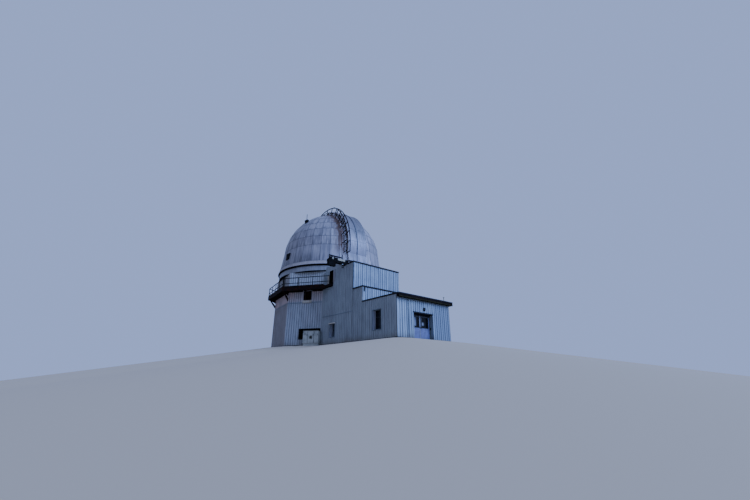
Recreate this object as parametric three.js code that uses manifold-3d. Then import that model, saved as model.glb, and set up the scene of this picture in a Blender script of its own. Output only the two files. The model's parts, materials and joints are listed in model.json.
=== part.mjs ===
// Observatory building: an eight-sided tower with a turning dome, a balcony, and a stepped annex.
// Millimetres, +Z up. The origin is on the dome's vertical axis, at the lowest ground level.
// X runs along the annex's front wall and Y runs from that wall towards the tower.
import * as THREE from "three";
import { mergeVertices } from "three/addons/utils/BufferGeometryUtils.js";
import Module from "manifold-3d";

const wasm = await Module();
wasm.setup();

const GAP = 0.3; // left between faces that meet at an angle
const rad = THREE.MathUtils.degToRad;

// Tower: a regular octagon, turned a little from the annex's axes.
const TOWER_APOTHEM = 6330;
const TOWER_WALL = 400;
const TOWER_TOP = 8350;
const SIDES = 8;
const FIRST_SIDE = 215.7; // direction in which side 0 faces, in degrees from +X
const SIDE_STEP = -360 / SIDES;
const SIDE_NAMES = ["front", "left", "back_left", "back", "back_right", "right", "front_right", "inner"];

// Annex: three boxes stepping up to the tower, all on one left-hand wall line.
const ANNEX = { left: -4220, right: 2140, front: -16800, wall: 450 };
const LOW = { right: 2760, back: -12180, top: 3670, roof: 110, overhang: 320, eaves: 220 };
const MID = { back: -10650, top: 5150, roof: 120 };
const HIGH = { top: 8030, roof: 120 };
const COPING = 60; // how far a roof edge stands past its wall
const FLOOR = 100;
const UPPER_FLOOR = { bottom: 6220, top: 6420 };

// Front doorway and its two leaves.
const DOORWAY = { left: -2200, right: 360, head: 2300 };
const DOOR = { frame: 60, depth: 110, leaf: 50, gap: 8, stile: 130, paneBottom: 1080, pane: 8 };
const DOOR_PIVOT = { radius: 8, inset: 6 }; // upright pins at the inner corners of the leaves

// Openings in the left-hand wall: y0, y1, z0, z1.
const SIDE_WINDOW = [-14830, -13710, 900, 2650];
const SMALL_WINDOW = [-7670, -6760, 780, 2100];
const BALCONY_DOOR = [-6950, -6350, 6420, 7950];

// Openings in the tower wall, as distances along the side and heights.
const LOUVRE_WINDOW = [-700, 230, 4940, 6060];
const INTAKE = [-950, 1500, 780, 1840];
const CABINET = { from: -200, to: 1570, depth: 520, bottom: 280, top: 1560 };
const CABINET_FAN = { across: 720, up: 890, radius: 170, depth: 20 };

// Balcony.
const DECK = { apothem: 7270, top: 6420, thick: 260, landing: -7000, landingWidth: 380 };
const RAIL = { height: 1080, mid: 470, bar: 55, post: 60, bays: 4, inset: 40 };
const FRONT_POSTS = [-2750, -1080, 660]; // along the front railing, whose ends have their own
const BRACE = { leg: 1160, width: 70, strut: 150, reach: 250 };

// Ring on the tower, and the dome that turns on it.
const RING = { outer: 6690, inner: 6150, top: 8935, trackTop: 9090, trackIn: 6470, trackOut: 6560 };
const SKIRT = { bottom: 9105, top: 9600, lower: 6850, upper: 6710, inner: 6380 };
const BOGIE = { count: 12, length: 240, width: 70 }; // what the dome turns on
const DOME = { radius: 6350, centre: 11600, foot: 6680, shell: 120, turned: 264.6, gores: 36 };
const ROWS = [1.5, 12, 22.5, 33, 43.5, 54, 64.5, 75, 84]; // heights of the panel joints, in degrees
const SLIT = { half: 1150, sill: 10610, back: -800 };
const SLIT_RAIL = { outer: 6500, width: 120, from: -9, to: 184 };
const SHUTTER = { inner: 6512, outer: 6632, from: -8.5, to: 100, rib: 60, ribAt: -60 };
const SHOE = { at: [-4, 29, 62, 95], length: 160, width: 70 }; // what the shutter slides on
const LADDER = { inner: -1400, outer: -1810, base: 6420, hand: 7140, foot: 10600, to: 130, outerTo: 61 };
const LADDER_BAR = { stringer: 65, hand: 90, post: 80, rung: 26, rungStep: 300, postStep: 11.5, postFrom: 4 };
const HATCH = { at: -83, half: 380, bottom: 10400, top: 11200, from: 6280, to: 6570 };
const MAST = { at: -75, up: 41.5, box: 270, height: 1150, rod: 50, sideBox: 150 };

// Raised part of the annex's left wall behind the roof, and the service platform that rests on it.
const UPSTAND = { width: 150, back: -5450, top: 8600 };
const PLATFORM = { left: -5920, right: -3400, front: -8600, back: -8200, bottom: 8320, top: 8600 };
const PLATFORM_END = { right: -5050, bottom: 7880, inset: 60 }; // the deep box at its outer end
const PLATFORM_FOOT = { from: -3900, to: -3600 };
const KICK_PLATE = { left: -5700, height: 200, thick: 20 };
const PLATFORM_RAIL = { height: 400, bar: 60, posts: [-5900, -5280, -4230], tall: 750 };

// A geometry's closed surface as a solid that can be joined and cut.
function toSolid(geometry) {
  const bare = geometry.clone();
  bare.deleteAttribute("normal");
  bare.deleteAttribute("uv");
  const merged = mergeVertices(bare, 1e-3);
  return new wasm.Manifold(
    new wasm.Mesh({
      numProp: 3,
      vertProperties: merged.attributes.position.array,
      triVerts: new Uint32Array(merged.index.array),
    }),
  );
}

function toGeometry(solid) {
  const mesh = solid.getMesh();
  const geometry = new THREE.BufferGeometry();
  geometry.setAttribute("position", new THREE.BufferAttribute(mesh.vertProperties, 3));
  geometry.setIndex(new THREE.BufferAttribute(mesh.triVerts, 1));
  return geometry;
}

const join = (...pieces) => toGeometry(pieces.map(toSolid).reduce((a, b) => a.add(b)));
const cut = (piece, ...tools) => toGeometry(tools.map(toSolid).reduce((a, b) => a.subtract(b), toSolid(piece)));
const common = (a, b) => toGeometry(toSolid(a).intersect(toSolid(b)));

function box(x0, x1, y0, y1, z0, z1) {
  const geometry = new THREE.BoxGeometry(x1 - x0, y1 - y0, z1 - z0);
  return geometry.translate((x0 + x1) / 2, (y0 + y1) / 2, (z0 + z1) / 2);
}

function outline(points) {
  return new THREE.Shape(points.map(([a, b]) => new THREE.Vector2(a, b)));
}

function extrude(shape, depth, curveSegments = 12) {
  return new THREE.ExtrudeGeometry(shape, { depth, bevelEnabled: false, curveSegments });
}

// A flat plate with its outline in plan.
const plate = (points, z0, z1) => extrude(outline(points), z1 - z0).translate(0, 0, z0);

// A wall plate with its outline in side view (y, z), from x0 to x1.
function sideWall(points, x0, x1) {
  const turn = new THREE.Matrix4().makeBasis(
    new THREE.Vector3(0, 1, 0),
    new THREE.Vector3(0, 0, 1),
    new THREE.Vector3(1, 0, 0),
  );
  return extrude(outline(points), x1 - x0).applyMatrix4(turn).translate(x0, 0, 0);
}

// A ring or dome from its profile of [radius, height] points.
function turned(profile, segments) {
  const points = profile.map(([r, z]) => new THREE.Vector2(r, z));
  return new THREE.LatheGeometry(points, segments).rotateX(Math.PI / 2);
}

// A plate with its outline in front view (x, z), from y0 to y1.
function upright(shape, y0, y1, curveSegments) {
  const turn = new THREE.Matrix4().makeBasis(
    new THREE.Vector3(1, 0, 0),
    new THREE.Vector3(0, 0, 1),
    new THREE.Vector3(0, -1, 0),
  );
  return extrude(shape, y1 - y0, curveSegments).applyMatrix4(turn).translate(0, y1, 0);
}

// A curved bar in the slit's upright plane: part of a circle round the dome's centre, then y0 to y1.
function arch(inner, outer, from, to, y0, y1, step = 4) {
  const shape = new THREE.Shape();
  shape.absarc(0, DOME.centre, outer, rad(from), rad(to), false);
  shape.absarc(0, DOME.centre, inner, rad(to), rad(from), true);
  return upright(shape, y0, y1, Math.ceil((to - from) / step));
}

function octagon(apothem) {
  const corner = apothem / Math.cos(Math.PI / SIDES);
  return Array.from({ length: SIDES }, (_, i) => {
    const angle = rad(FIRST_SIDE + 22.5 + i * 45);
    return [corner * Math.cos(angle), corner * Math.sin(angle)];
  });
}

function finish(colour, roughness, metalness) {
  return new THREE.MeshStandardMaterial({ color: colour, roughness, metalness });
}

const CLADDING = finish(0x9fb1c4, 0.55, 0.4);
const TOWER_CLADDING = finish(0x8b98a6, 0.6, 0.4);
const BITUMEN = finish(0x2a2725, 0.9, 0.0);
const RUSTY_STEEL = finish(0x3a2c27, 0.85, 0.5);
const DOME_PANEL = finish(0x9a98a0, 0.5, 0.5);
const DARK_METAL = finish(0x2b2f33, 0.6, 0.5);
const CONCRETE = finish(0x8a8780, 0.95, 0.0);
const DOOR_PAINT = finish(0x8f95b5, 0.6, 0.1);
const GLASS = finish(0x20262b, 0.1, 0.0);

const building = new THREE.Group();

function add(group, name, geometry, material) {
  const mesh = new THREE.Mesh(geometry, material);
  mesh.name = name;
  group.add(mesh);
}

// A group whose +X looks straight out of one of the tower's sides.
function sideGroup(index) {
  const group = new THREE.Group();
  group.rotation.z = rad(FIRST_SIDE + index * SIDE_STEP);
  building.add(group);
  return group;
}

const place = (geometry, index) => geometry.rotateZ(rad(FIRST_SIDE + index * SIDE_STEP));

// One straight length of the tower wall, mitred at its two corners.
function towerWall(opening) {
  const half = (apothem) => apothem * Math.tan(Math.PI / SIDES) - GAP;
  const outer = TOWER_APOTHEM;
  const inner = TOWER_APOTHEM - TOWER_WALL;
  const plan = [
    [inner, -half(inner)],
    [outer, -half(outer)],
    [outer, half(outer)],
    [inner, half(inner)],
  ];
  const wall = plate(plan, 0, TOWER_TOP);
  if (!opening.length) return wall;
  return cut(wall, ...opening.map(([y0, y1, z0, z1]) => box(inner - 50, outer + 50, y0, y1, z0, z1)));
}

// A frame with sloping blades, which fills one opening of the tower wall.
function louvre([y0, y1, z0, z1], blades, frame, sill) {
  const out = TOWER_APOTHEM + 40;
  const back = TOWER_APOTHEM - 160;
  const [a, b, c, d] = [y0 + GAP, y1 - GAP, z0 + GAP, z1 - GAP];
  let piece = box(back, out, a, b, c, d);
  piece = cut(piece, box(back - 10, out + 10, a + frame, b - frame, c + frame, d - frame));
  const pitch = (d - c - 2 * frame) / blades;
  for (let i = 0; i < blades; i++) {
    const blade = new THREE.BoxGeometry(110, b - a - frame, 14).rotateY(rad(35));
    blade.translate(TOWER_APOTHEM - 60, (a + b) / 2, c + frame + pitch * (i + 0.5));
    piece = join(piece, blade);
  }
  if (!sill) return piece;
  const ledge = box(TOWER_APOTHEM + GAP, out + 60, a - 60, b + 60, c - sill, c + frame);
  return join(piece, ledge);
}

function tower() {
  const openings = SIDE_NAMES.map(() => []);
  openings[0] = [LOUVRE_WINDOW, INTAKE];
  openings[3] = [LOUVRE_WINDOW];
  openings[5] = [LOUVRE_WINDOW];
  SIDE_NAMES.forEach((side, i) => {
    const group = sideGroup(i);
    add(group, `tower_wall_${side}`, towerWall(openings[i]), TOWER_CLADDING);
    if (!openings[i].length) return;
    add(group, `louvre_window_${side}`, louvre(LOUVRE_WINDOW, 7, 60, 190), DARK_METAL);
  });
  const front = sideGroup(0);
  add(front, "air_intake", louvre(INTAKE, 6, 70, 0), DARK_METAL);
  const { from, to, depth, bottom, top } = CABINET;
  const face = TOWER_APOTHEM + 40 + GAP;
  const body = box(face, face + depth, from, to, bottom, top);
  const plinth = box(face + 40, face + depth - 40, from + 40, to - 40, 0, bottom);
  const { across, up, radius, depth: sunk } = CABINET_FAN;
  const fan = new THREE.CylinderGeometry(radius, radius, 2 * sunk, 24).rotateZ(Math.PI / 2);
  fan.translate(face + depth, across, up);
  add(front, "equipment_cabinet", join(cut(body, fan), plinth), CLADDING);
  const inside = octagon(TOWER_APOTHEM - TOWER_WALL - GAP);
  add(building, "tower_floor", plate(inside, 0, FLOOR), CONCRETE);
  add(building, "tower_upper_floor", plate(inside, UPPER_FLOOR.bottom, UPPER_FLOOR.top), CONCRETE);
}

const rectangle = (a0, a1, b0, b1) => [
  [a0, b0],
  [a1, b0],
  [a1, b1],
  [a0, b1],
];

// The tower's whole outside, a gap larger, which the annex is cut to.
const towerMass = () => plate(octagon(TOWER_APOTHEM + GAP), -50, TOWER_TOP + 800);

function annexWalls() {
  const { left, right, front, wall } = ANNEX;
  const steps = (start, end) => [
    [start, 0],
    [end, 0],
    [end, HIGH.top],
    [MID.back, HIGH.top],
    [MID.back, MID.top],
    [LOW.back, MID.top],
  ];
  const leftOutline = [...steps(front, -4700), [LOW.back, LOW.top], [front, LOW.top]];
  const leftWall = sideWall(leftOutline, left, left + wall);
  const holes = [SIDE_WINDOW, SMALL_WINDOW, BALCONY_DOOR].map(([y0, y1, z0, z1]) =>
    box(left - 50, left + wall + 50, y0, y1, z0, z1),
  );
  add(building, "annex_left_wall", cut(leftWall, towerMass(), ...holes), CLADDING);
  const rightWall = sideWall(steps(LOW.back, -4700), right - wall, right);
  add(building, "annex_right_wall", cut(rightWall, towerMass()), CLADDING);
  const { right: lowRight, back, top } = LOW;
  add(building, "low_right_wall", box(lowRight - wall, lowRight, front, back, 0, top), CLADDING);
  const returnWall = box(right - wall, lowRight - wall, back - wall, back, 0, top);
  add(building, "low_return_wall", returnWall, CLADDING);
  const inner = left + wall;
  const { left: jambLeft, right: jambRight, head } = DOORWAY;
  add(building, "front_wall_left", box(inner, jambLeft, front, front + wall, 0, top), CLADDING);
  add(building, "front_wall_right", box(jambRight, lowRight - wall, front, front + wall, 0, top), CLADDING);
  add(building, "front_wall_lintel", box(jambLeft, jambRight, front, front + wall, head, top), CLADDING);
  const midWall = box(inner, right - wall, back, back + wall, top, MID.top);
  add(building, "mid_front_wall", midWall, CLADDING);
  const highWall = box(inner, right - wall, MID.back, MID.back + wall, MID.top, HIGH.top);
  add(building, "high_front_wall", highWall, CLADDING);
}

function annexRoofs() {
  const { left, right, front } = ANNEX;
  const eavesRight = LOW.right + LOW.overhang;
  const eavesFront = front - LOW.overhang;
  const lowRoof = join(
    box(left, eavesRight, eavesFront, LOW.back, LOW.top, LOW.top + LOW.roof),
    box(left, eavesRight, eavesFront, front - GAP, LOW.top - LOW.eaves, LOW.top + 5),
    box(LOW.right + GAP, eavesRight, eavesFront, LOW.back, LOW.top - LOW.eaves, LOW.top + 5),
  );
  add(building, "low_roof", lowRoof, BITUMEN);
  const midPlan = rectangle(left - COPING, right + COPING, LOW.back - COPING, MID.back);
  add(building, "mid_roof", plate(midPlan, MID.top, MID.top + MID.roof), BITUMEN);
  const highPlan = rectangle(left - COPING, right + COPING, MID.back - COPING, -4700);
  const highRoof = plate(highPlan, HIGH.top, HIGH.top + HIGH.roof);
  const beside = left + UPSTAND.width + GAP;
  const notch = box(left - 2 * COPING, beside, PLATFORM.front - GAP, 0, HIGH.top - 9, HIGH.top + 900);
  add(building, "high_roof", cut(highRoof, towerMass(), notch), BITUMEN);
}

// The left wall's raised part: low under the platform and higher behind it.
function wallUpstand() {
  const { width, back, top } = UPSTAND;
  const profile = [
    [PLATFORM.front, HIGH.top],
    [back, HIGH.top],
    [back, top],
    [PLATFORM.back + GAP, top],
    [PLATFORM.back + GAP, PLATFORM.bottom],
    [PLATFORM.front, PLATFORM.bottom],
  ];
  const { left } = ANNEX;
  add(building, "wall_upstand", cut(sideWall(profile, left, left + width), towerMass()), CLADDING);
}

function annexFloors() {
  const { left, right, front, wall } = ANNEX;
  const [x0, x1, y0] = [left + wall, right - wall, front + wall];
  const lowBack = LOW.back - wall;
  const { left: jambLeft, right: jambRight } = DOORWAY;
  const plan = [
    [x0, y0],
    [jambLeft, y0],
    [jambLeft, front],
    [jambRight, front],
    [jambRight, y0],
    [LOW.right - wall, y0],
    [LOW.right - wall, lowBack],
    [x1, lowBack],
    [x1, -4700],
    [x0, -4700],
  ];
  add(building, "annex_floor", cut(plate(plan, 0, FLOOR), towerMass()), CONCRETE);
  const upper = plate(rectangle(x0, x1, MID.back + wall, -4700), UPPER_FLOOR.bottom, UPPER_FLOOR.top);
  add(building, "annex_upper_floor", cut(upper, towerMass()), CONCRETE);
}

// A window that stands deep in the left-hand wall: frame, one bar and glass in one.
function sideOpeningFrame([y0, y1, z0, z1], frame, bars) {
  const x1 = ANNEX.left + ANNEX.wall;
  const x0 = x1 - 90;
  let piece = cut(box(x0, x1, y0, y1, z0, z1), box(x0 - 9, x1 + 9, y0 + frame, y1 - frame, z0 + frame, z1 - frame));
  bars.forEach((z) => {
    piece = join(piece, box(x0 + 20, x1 - 20, y0 + frame / 2, y1 - frame / 2, z - 30, z + 30));
  });
  return join(piece, box(x0 + 40, x0 + 50, y0 + frame / 2, y1 - frame / 2, z0 + frame / 2, z1 - frame / 2));
}

function annexWindows() {
  const { left } = ANNEX;
  add(building, "side_window", sideOpeningFrame(SIDE_WINDOW, 60, [2050]), GLASS);
  add(building, "small_window", sideOpeningFrame(SMALL_WINDOW, 60, []), GLASS);
  const [y0, y1, , z1] = SMALL_WINDOW;
  const hood = sideWall(
    [
      [y0 - 60, z1 + 20],
      [y1 + 60, z1 + 20],
      [y1 + 60, z1 + 110],
      [y0 - 60, z1 + 110],
    ],
    left - 160,
    left,
  );
  add(building, "small_window_hood", hood, CLADDING);
  add(building, "balcony_door", sideOpeningFrame(BALCONY_DOOR, 50, [7000]), DARK_METAL);
}

// The front doorway's frame, and one leaf with a pane over a plain lower panel.
function frontDoor() {
  const { left, right, head } = DOORWAY;
  const back = ANNEX.front + ANNEX.wall;
  const face = back - DOOR.depth;
  const frame = cut(
    box(left, right, face, back, FLOOR, head),
    box(left + DOOR.frame, right - DOOR.frame, face - 9, back + 9, FLOOR - 9, head - DOOR.frame),
  );
  add(building, "door_frame", frame, DOOR_PAINT);
  const middle = (left + right) / 2;
  const y1 = back - 5;
  const y0 = y1 - DOOR.leaf;
  const z0 = FLOOR + DOOR.gap + 4;
  const z1 = head - DOOR.frame - DOOR.gap;
  const { radius, inset } = DOOR_PIVOT;
  const pinHeight = head - DOOR.frame - FLOOR - 2 * GAP;
  const leaf = (x0, x1, pinX) => {
    const opening = [x0 + DOOR.stile, x1 - DOOR.stile, DOOR.paneBottom, z1 - DOOR.stile];
    const [a, b, c, d] = opening;
    const pin = new THREE.CylinderGeometry(radius, radius, pinHeight, 12).rotateX(Math.PI / 2);
    pin.translate(pinX, y1 - inset, FLOOR + GAP + pinHeight / 2);
    const panel = join(cut(box(x0, x1, y0, y1, z0, z1), box(a, b, y0 - 9, y1 + 9, c, d)), pin);
    const glass = box(a, b, y0 + 20, y0 + 20 + DOOR.pane, c, d);
    return { panel, glass };
  };
  const hinge = DOOR.frame + DOOR.gap;
  const leaves = {
    left: leaf(left + hinge, middle - DOOR.gap / 2, left + hinge + inset),
    right: leaf(middle + DOOR.gap / 2, right - hinge, right - hinge - inset),
  };
  Object.entries(leaves).forEach(([side, { panel, glass }]) => {
    add(building, `door_leaf_${side}`, panel, DOOR_PAINT);
    add(building, `door_glass_${side}`, glass, GLASS);
  });
}

// A knee brace in the upright plane through one corner: a strut from the wall out to the deck's edge.
function kneeBrace(angle) {
  const cornerWall = TOWER_APOTHEM / Math.cos(Math.PI / SIDES);
  const cornerDeck = DECK.apothem / Math.cos(Math.PI / SIDES);
  const under = DECK.top - DECK.thick;
  const { leg, strut, width, reach } = BRACE;
  const shape = outline([
    [cornerWall - strut, under - leg],
    [cornerWall + strut / 2, under - leg],
    [cornerDeck - reach + strut, under + 5],
    [cornerDeck - reach, under + 5],
    [cornerWall, under - leg + 2 * strut],
    [cornerWall - strut, under - leg + 2 * strut],
  ]);
  return upright(shape, -width / 2, width / 2).rotateZ(angle);
}

// The deck runs round the tower from one annex wall to the other.
function balconyDeck() {
  const { apothem, top, thick, landing, landingWidth } = DECK;
  let deck = plate(octagon(apothem), top - thick, top);
  for (let i = 0; i < SIDES - 2; i++) {
    const corner = FIRST_SIDE + (i + 0.5) * SIDE_STEP;
    deck = join(deck, kneeBrace(rad(corner)));
  }
  deck = cut(deck, towerMass());
  const { left, right } = ANNEX;
  deck = cut(deck, box(left - GAP, right + GAP, -9000, -3000, 0, 9000));
  const step = plate(
    [
      [left - landingWidth, landing],
      [left - GAP, landing],
      [left - GAP, -5900],
      [left - landingWidth, -5400],
    ],
    top - thick,
    top,
  );
  return join(deck, cut(step, towerMass()));
}

// A straight railing along one side, from y0 to y1, with posts at the given places.
function railing(index, y0, y1, posts) {
  const x1 = DECK.apothem - RAIL.inset;
  const x0 = x1 - RAIL.bar;
  const { top } = DECK;
  const bar = (z) => box(x0, x1, y0, y1, z - RAIL.bar, z);
  const uprights = posts.map((y) =>
    box(x0 - 2, x1 + 2, y - RAIL.post / 2, y + RAIL.post / 2, top, top + RAIL.height - 5),
  );
  return place(join(bar(top + RAIL.height), bar(top + RAIL.mid), ...uprights), index);
}

function balcony() {
  add(building, "balcony_deck", balconyDeck(), RUSTY_STEEL);
  const line = DECK.apothem - RAIL.inset - RAIL.bar / 2;
  const half = line * Math.tan(Math.PI / SIDES);
  const bay = (2 * half) / RAIL.bays;
  const whole = (i) => railing(i, -half, half, [-half, -bay, 0, bay, half]);
  const wallClear = 60;
  const frontEnd = endOnWall(0, line, ANNEX.left - wallClear);
  const rightEnd = endOnWall(6, line, ANNEX.right + wallClear);
  const front = railing(0, -half + 70, frontEnd, [-half + 95, ...FRONT_POSTS, frontEnd - 30]);
  const right = railing(6, rightEnd, half, [rightEnd + 30, 0, bay, half]);
  add(building, "balcony_rail_front", front, RUSTY_STEEL);
  add(building, "balcony_rail_left", join(whole(1), whole(2)), RUSTY_STEEL);
  const backSide = railing(3, -half, half - 70, [-half, -bay, 0, bay, half - 95]);
  add(building, "balcony_rail_back", join(backSide, whole(4)), RUSTY_STEEL);
  const rightSide = railing(5, -half, half - 70, [-half, -bay, 0, bay, half - 95]);
  add(building, "balcony_rail_right", join(rightSide, right), RUSTY_STEEL);
}

// Where a line along one side of the tower reaches an upright plane at x.
function endOnWall(index, distance, x) {
  const angle = rad(FIRST_SIDE + index * SIDE_STEP);
  return (x - distance * Math.cos(angle)) / -Math.sin(angle);
}

function ring() {
  const { outer, inner, top, trackTop, trackIn, trackOut } = RING;
  const profile = [
    [inner, TOWER_TOP],
    [outer, TOWER_TOP],
    [outer, top],
    [trackOut, top],
    [trackOut, trackTop],
    [trackIn, trackTop],
    [trackIn, top],
    [inner, top],
    [inner, TOWER_TOP],
  ];
  add(building, "tower_ring", turned(profile, 72), CLADDING);
}

// The dome's outer profile from its crown down to its foot, a given distance outside the panels.
function domeProfile(offset) {
  const { radius, centre, foot } = DOME;
  const size = radius + offset;
  const points = [[0, centre + size]];
  [...ROWS].reverse().forEach((e) => {
    points.push([size * Math.cos(rad(e)), centre + size * Math.sin(rad(e))]);
  });
  points.push([foot + offset, SKIRT.top]);
  return points;
}

function domeShell() {
  const outer = domeProfile(0);
  const inner = domeProfile(-DOME.shell);
  const shell = turned([...inner, ...outer.reverse()], DOME.gores);
  const slit = box(SLIT.back, 9000, -SLIT.half, SLIT.half, SLIT.sill, 20000);
  return cut(shell, slit);
}

// The dome filled in, a gap larger, which what stands on it is cut to.
function domeMass() {
  const below = SKIRT.top - 900;
  return turned([[0, below], [DOME.foot + GAP, below], ...domeProfile(GAP).reverse()], DOME.gores);
}

function ladder() {
  const { inner, outer, base, hand, foot, to, outerTo } = LADDER;
  const { stringer, hand: handBar, post, rung, rungStep, postStep, postFrom } = LADDER_BAR;
  const zc = DOME.centre;
  const half = stringer / 2;
  const pieces = [];
  [
    [inner, to],
    [outer, outerTo],
  ].forEach(([y, railTo]) => {
    pieces.push(arch(base - half, base + half, 0, to, y - 20, y + 20));
    pieces.push(box(base - half, base + half, y - 20, y + 20, foot, zc + 5));
    const rail = handBar / 2;
    pieces.push(arch(hand - rail, hand + rail, 0, railTo + 1, y - rail, y + rail));
    pieces.push(box(hand - rail, hand + rail, y - rail, y + rail, foot + 100, zc + 5));
    pieces.push(box(base, hand, y - post / 2, y + post / 2, foot + 100, foot + 100 + post));
    for (let e = postFrom; e < to; e += postStep) {
      const upright = box(base, hand, y - post / 2, y + post / 2, -post / 2, post / 2);
      if (e <= railTo) pieces.push(upright.rotateY(-rad(e)).translate(0, 0, zc));
      const leg = box(5900, base, y - post / 2, y + post / 2, -post / 2, post / 2);
      pieces.push(cut(leg.rotateY(-rad(e)).translate(0, 0, zc), domeMass()));
    }
  });
  const pitch = (rungStep / base) * (180 / Math.PI);
  for (let e = 1; e < to; e += pitch) {
    const bar = box(base - rung / 2, base + rung / 2, outer, inner, -rung / 2, rung / 2);
    pieces.push(bar.rotateY(-rad(e)).translate(0, 0, zc));
  }
  for (let z = zc - 190; z > foot; z -= rungStep) {
    pieces.push(box(base - rung / 2, base + rung / 2, outer, inner, z, z + rung));
  }
  return join(...pieces);
}

function slitRails() {
  const { outer, width, from, to } = SLIT_RAIL;
  return [-1, 1].map((side) => {
    const near = side > 0 ? SLIT.half : -SLIT.half - width;
    return cut(arch(6000, outer, from, to, near, near + width), domeMass());
  });
}

function shutter() {
  const half = SLIT.half + SLIT_RAIL.width;
  const { inner, outer, from, to, rib, ribAt } = SHUTTER;
  const skin = arch(inner, outer, from, to, -half, half);
  const seam = arch(outer - 20, outer + rib, from, to, ribAt - rib / 2, ribAt + rib / 2);
  const shoes = SHOE.at.flatMap((e) =>
    [-1, 1].map((side) => {
      const y = side * (half - SLIT_RAIL.width / 2);
      const bottom = SLIT_RAIL.outer + GAP;
      const shoe = box(bottom, inner + 20, y - SHOE.width / 2, y + SHOE.width / 2, -SHOE.length / 2, SHOE.length / 2);
      return shoe.rotateY(-rad(e)).translate(0, 0, DOME.centre);
    }),
  );
  return join(skin, seam, ...shoes);
}

function hatch() {
  const { at, half, bottom, top, from, to } = HATCH;
  return box(from, to, -half, half, bottom, top).rotateZ(rad(at));
}

function mast() {
  const { at, up, box: size, height, rod, sideBox } = MAST;
  const along = DOME.radius * Math.cos(rad(up));
  const z = DOME.centre + DOME.radius * Math.sin(rad(up));
  const body = box(along - size, along + size / 2, -size / 2, size / 2, z - 300, z + size - 80);
  const pole = box(along - rod / 2, along + rod / 2, -rod / 2, rod / 2, z, z + height);
  const beside = box(along - size, along, size / 2 - 5, size / 2 + sideBox, z - 300, z + sideBox);
  return cut(join(body, pole, beside).rotateZ(rad(at)), domeMass());
}

// Blocks under the skirt that run on the ring's track.
function bogies() {
  const middle = (RING.trackIn + RING.trackOut) / 2;
  const { count, length, width } = BOGIE;
  return Array.from({ length: count }, (_, i) => {
    const block = box(
      middle - width / 2,
      middle + width / 2,
      -length / 2,
      length / 2,
      RING.trackTop + GAP,
      SKIRT.bottom + 20,
    );
    return block.rotateZ(rad((i + 0.5) * (360 / count)));
  });
}

function dome() {
  const group = new THREE.Group();
  group.rotation.z = rad(DOME.turned);
  building.add(group);
  const { bottom, top, lower, upper, inner } = SKIRT;
  const skirt = [
    [inner, bottom],
    [lower, bottom],
    [upper, top],
    [inner, top],
    [inner, bottom],
  ];
  add(group, "dome_skirt", join(turned(skirt, 72), ...bogies()), DOME_PANEL);
  const { at, half, bottom: low, top: high } = HATCH;
  const hatchHole = box(5900, 7200, -half - GAP, half + GAP, low - GAP, high + GAP).rotateZ(rad(at));
  const shell = cut(domeShell(), hatchHole);
  const far = 9000;
  add(group, "dome_shell_left", common(shell, box(-far, far, -far, -GAP / 2, 0, 20000)), DOME_PANEL);
  add(group, "dome_shell_right", common(shell, box(-far, far, GAP / 2, far, 0, 20000)), DOME_PANEL);
  const [leftRail, rightRail] = slitRails();
  add(group, "slit_rail_left", leftRail, DOME_PANEL);
  add(group, "slit_rail_right", rightRail, DOME_PANEL);
  add(group, "shutter", shutter(), DOME_PANEL);
  add(group, "dome_ladder", ladder(), RUSTY_STEEL);
  add(group, "dome_hatch", hatch(), DARK_METAL);
  add(group, "dome_mast", mast(), DARK_METAL);
}

// A narrow gangway that rests on the wall's raised part and stands out over the balcony.
function servicePlatform() {
  const { left, right, front, back, bottom, top } = PLATFORM;
  const end = PLATFORM_END;
  const roof = HIGH.top + HIGH.roof;
  const floor = join(
    box(left, right, front, back, bottom, top),
    box(left, end.right, front, back - end.inset, end.bottom, bottom + 5),
    box(PLATFORM_FOOT.from, PLATFORM_FOOT.to, front, back, roof, bottom + 5),
  );
  add(building, "platform_deck", floor, RUSTY_STEEL);
  const { left: kickLeft, height: kick, thick } = KICK_PLATE;
  const kickPlate = box(kickLeft, right, front, front + thick, top, top + kick);
  add(building, "platform_kick_plate", kickPlate, CLADDING);
  const { height, bar, posts, tall } = PLATFORM_RAIL;
  const y0 = front + thick;
  const last = posts[posts.length - 1];
  const topBar = box(posts[0], last + bar, y0, y0 + bar, top + height - bar, top + height);
  const uprights = posts.map((x) =>
    box(x, x + bar, y0, y0 + bar, top, top + (x === last ? tall : height - 5)),
  );
  add(building, "platform_rail", join(topBar, ...uprights), RUSTY_STEEL);
}

tower();
annexWalls();
annexRoofs();
annexFloors();
annexWindows();
frontDoor();
balcony();
ring();
dome();
wallUpstand();
servicePlatform();

export default building;
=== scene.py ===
# %% [markdown]
# This lesson dresses an observatory building: an eight-sided tower with a turning dome, a balcony round it,
# and a stepped annex with a double door. The plain solids come from the frame, at their real size in metres.
# Everything below adds what the sheet-metal worker, the painter and the weather added to the real one.

# %% Load the frame
import json
import math

import bmesh
import bpy
from mathutils import Matrix, Vector


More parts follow.
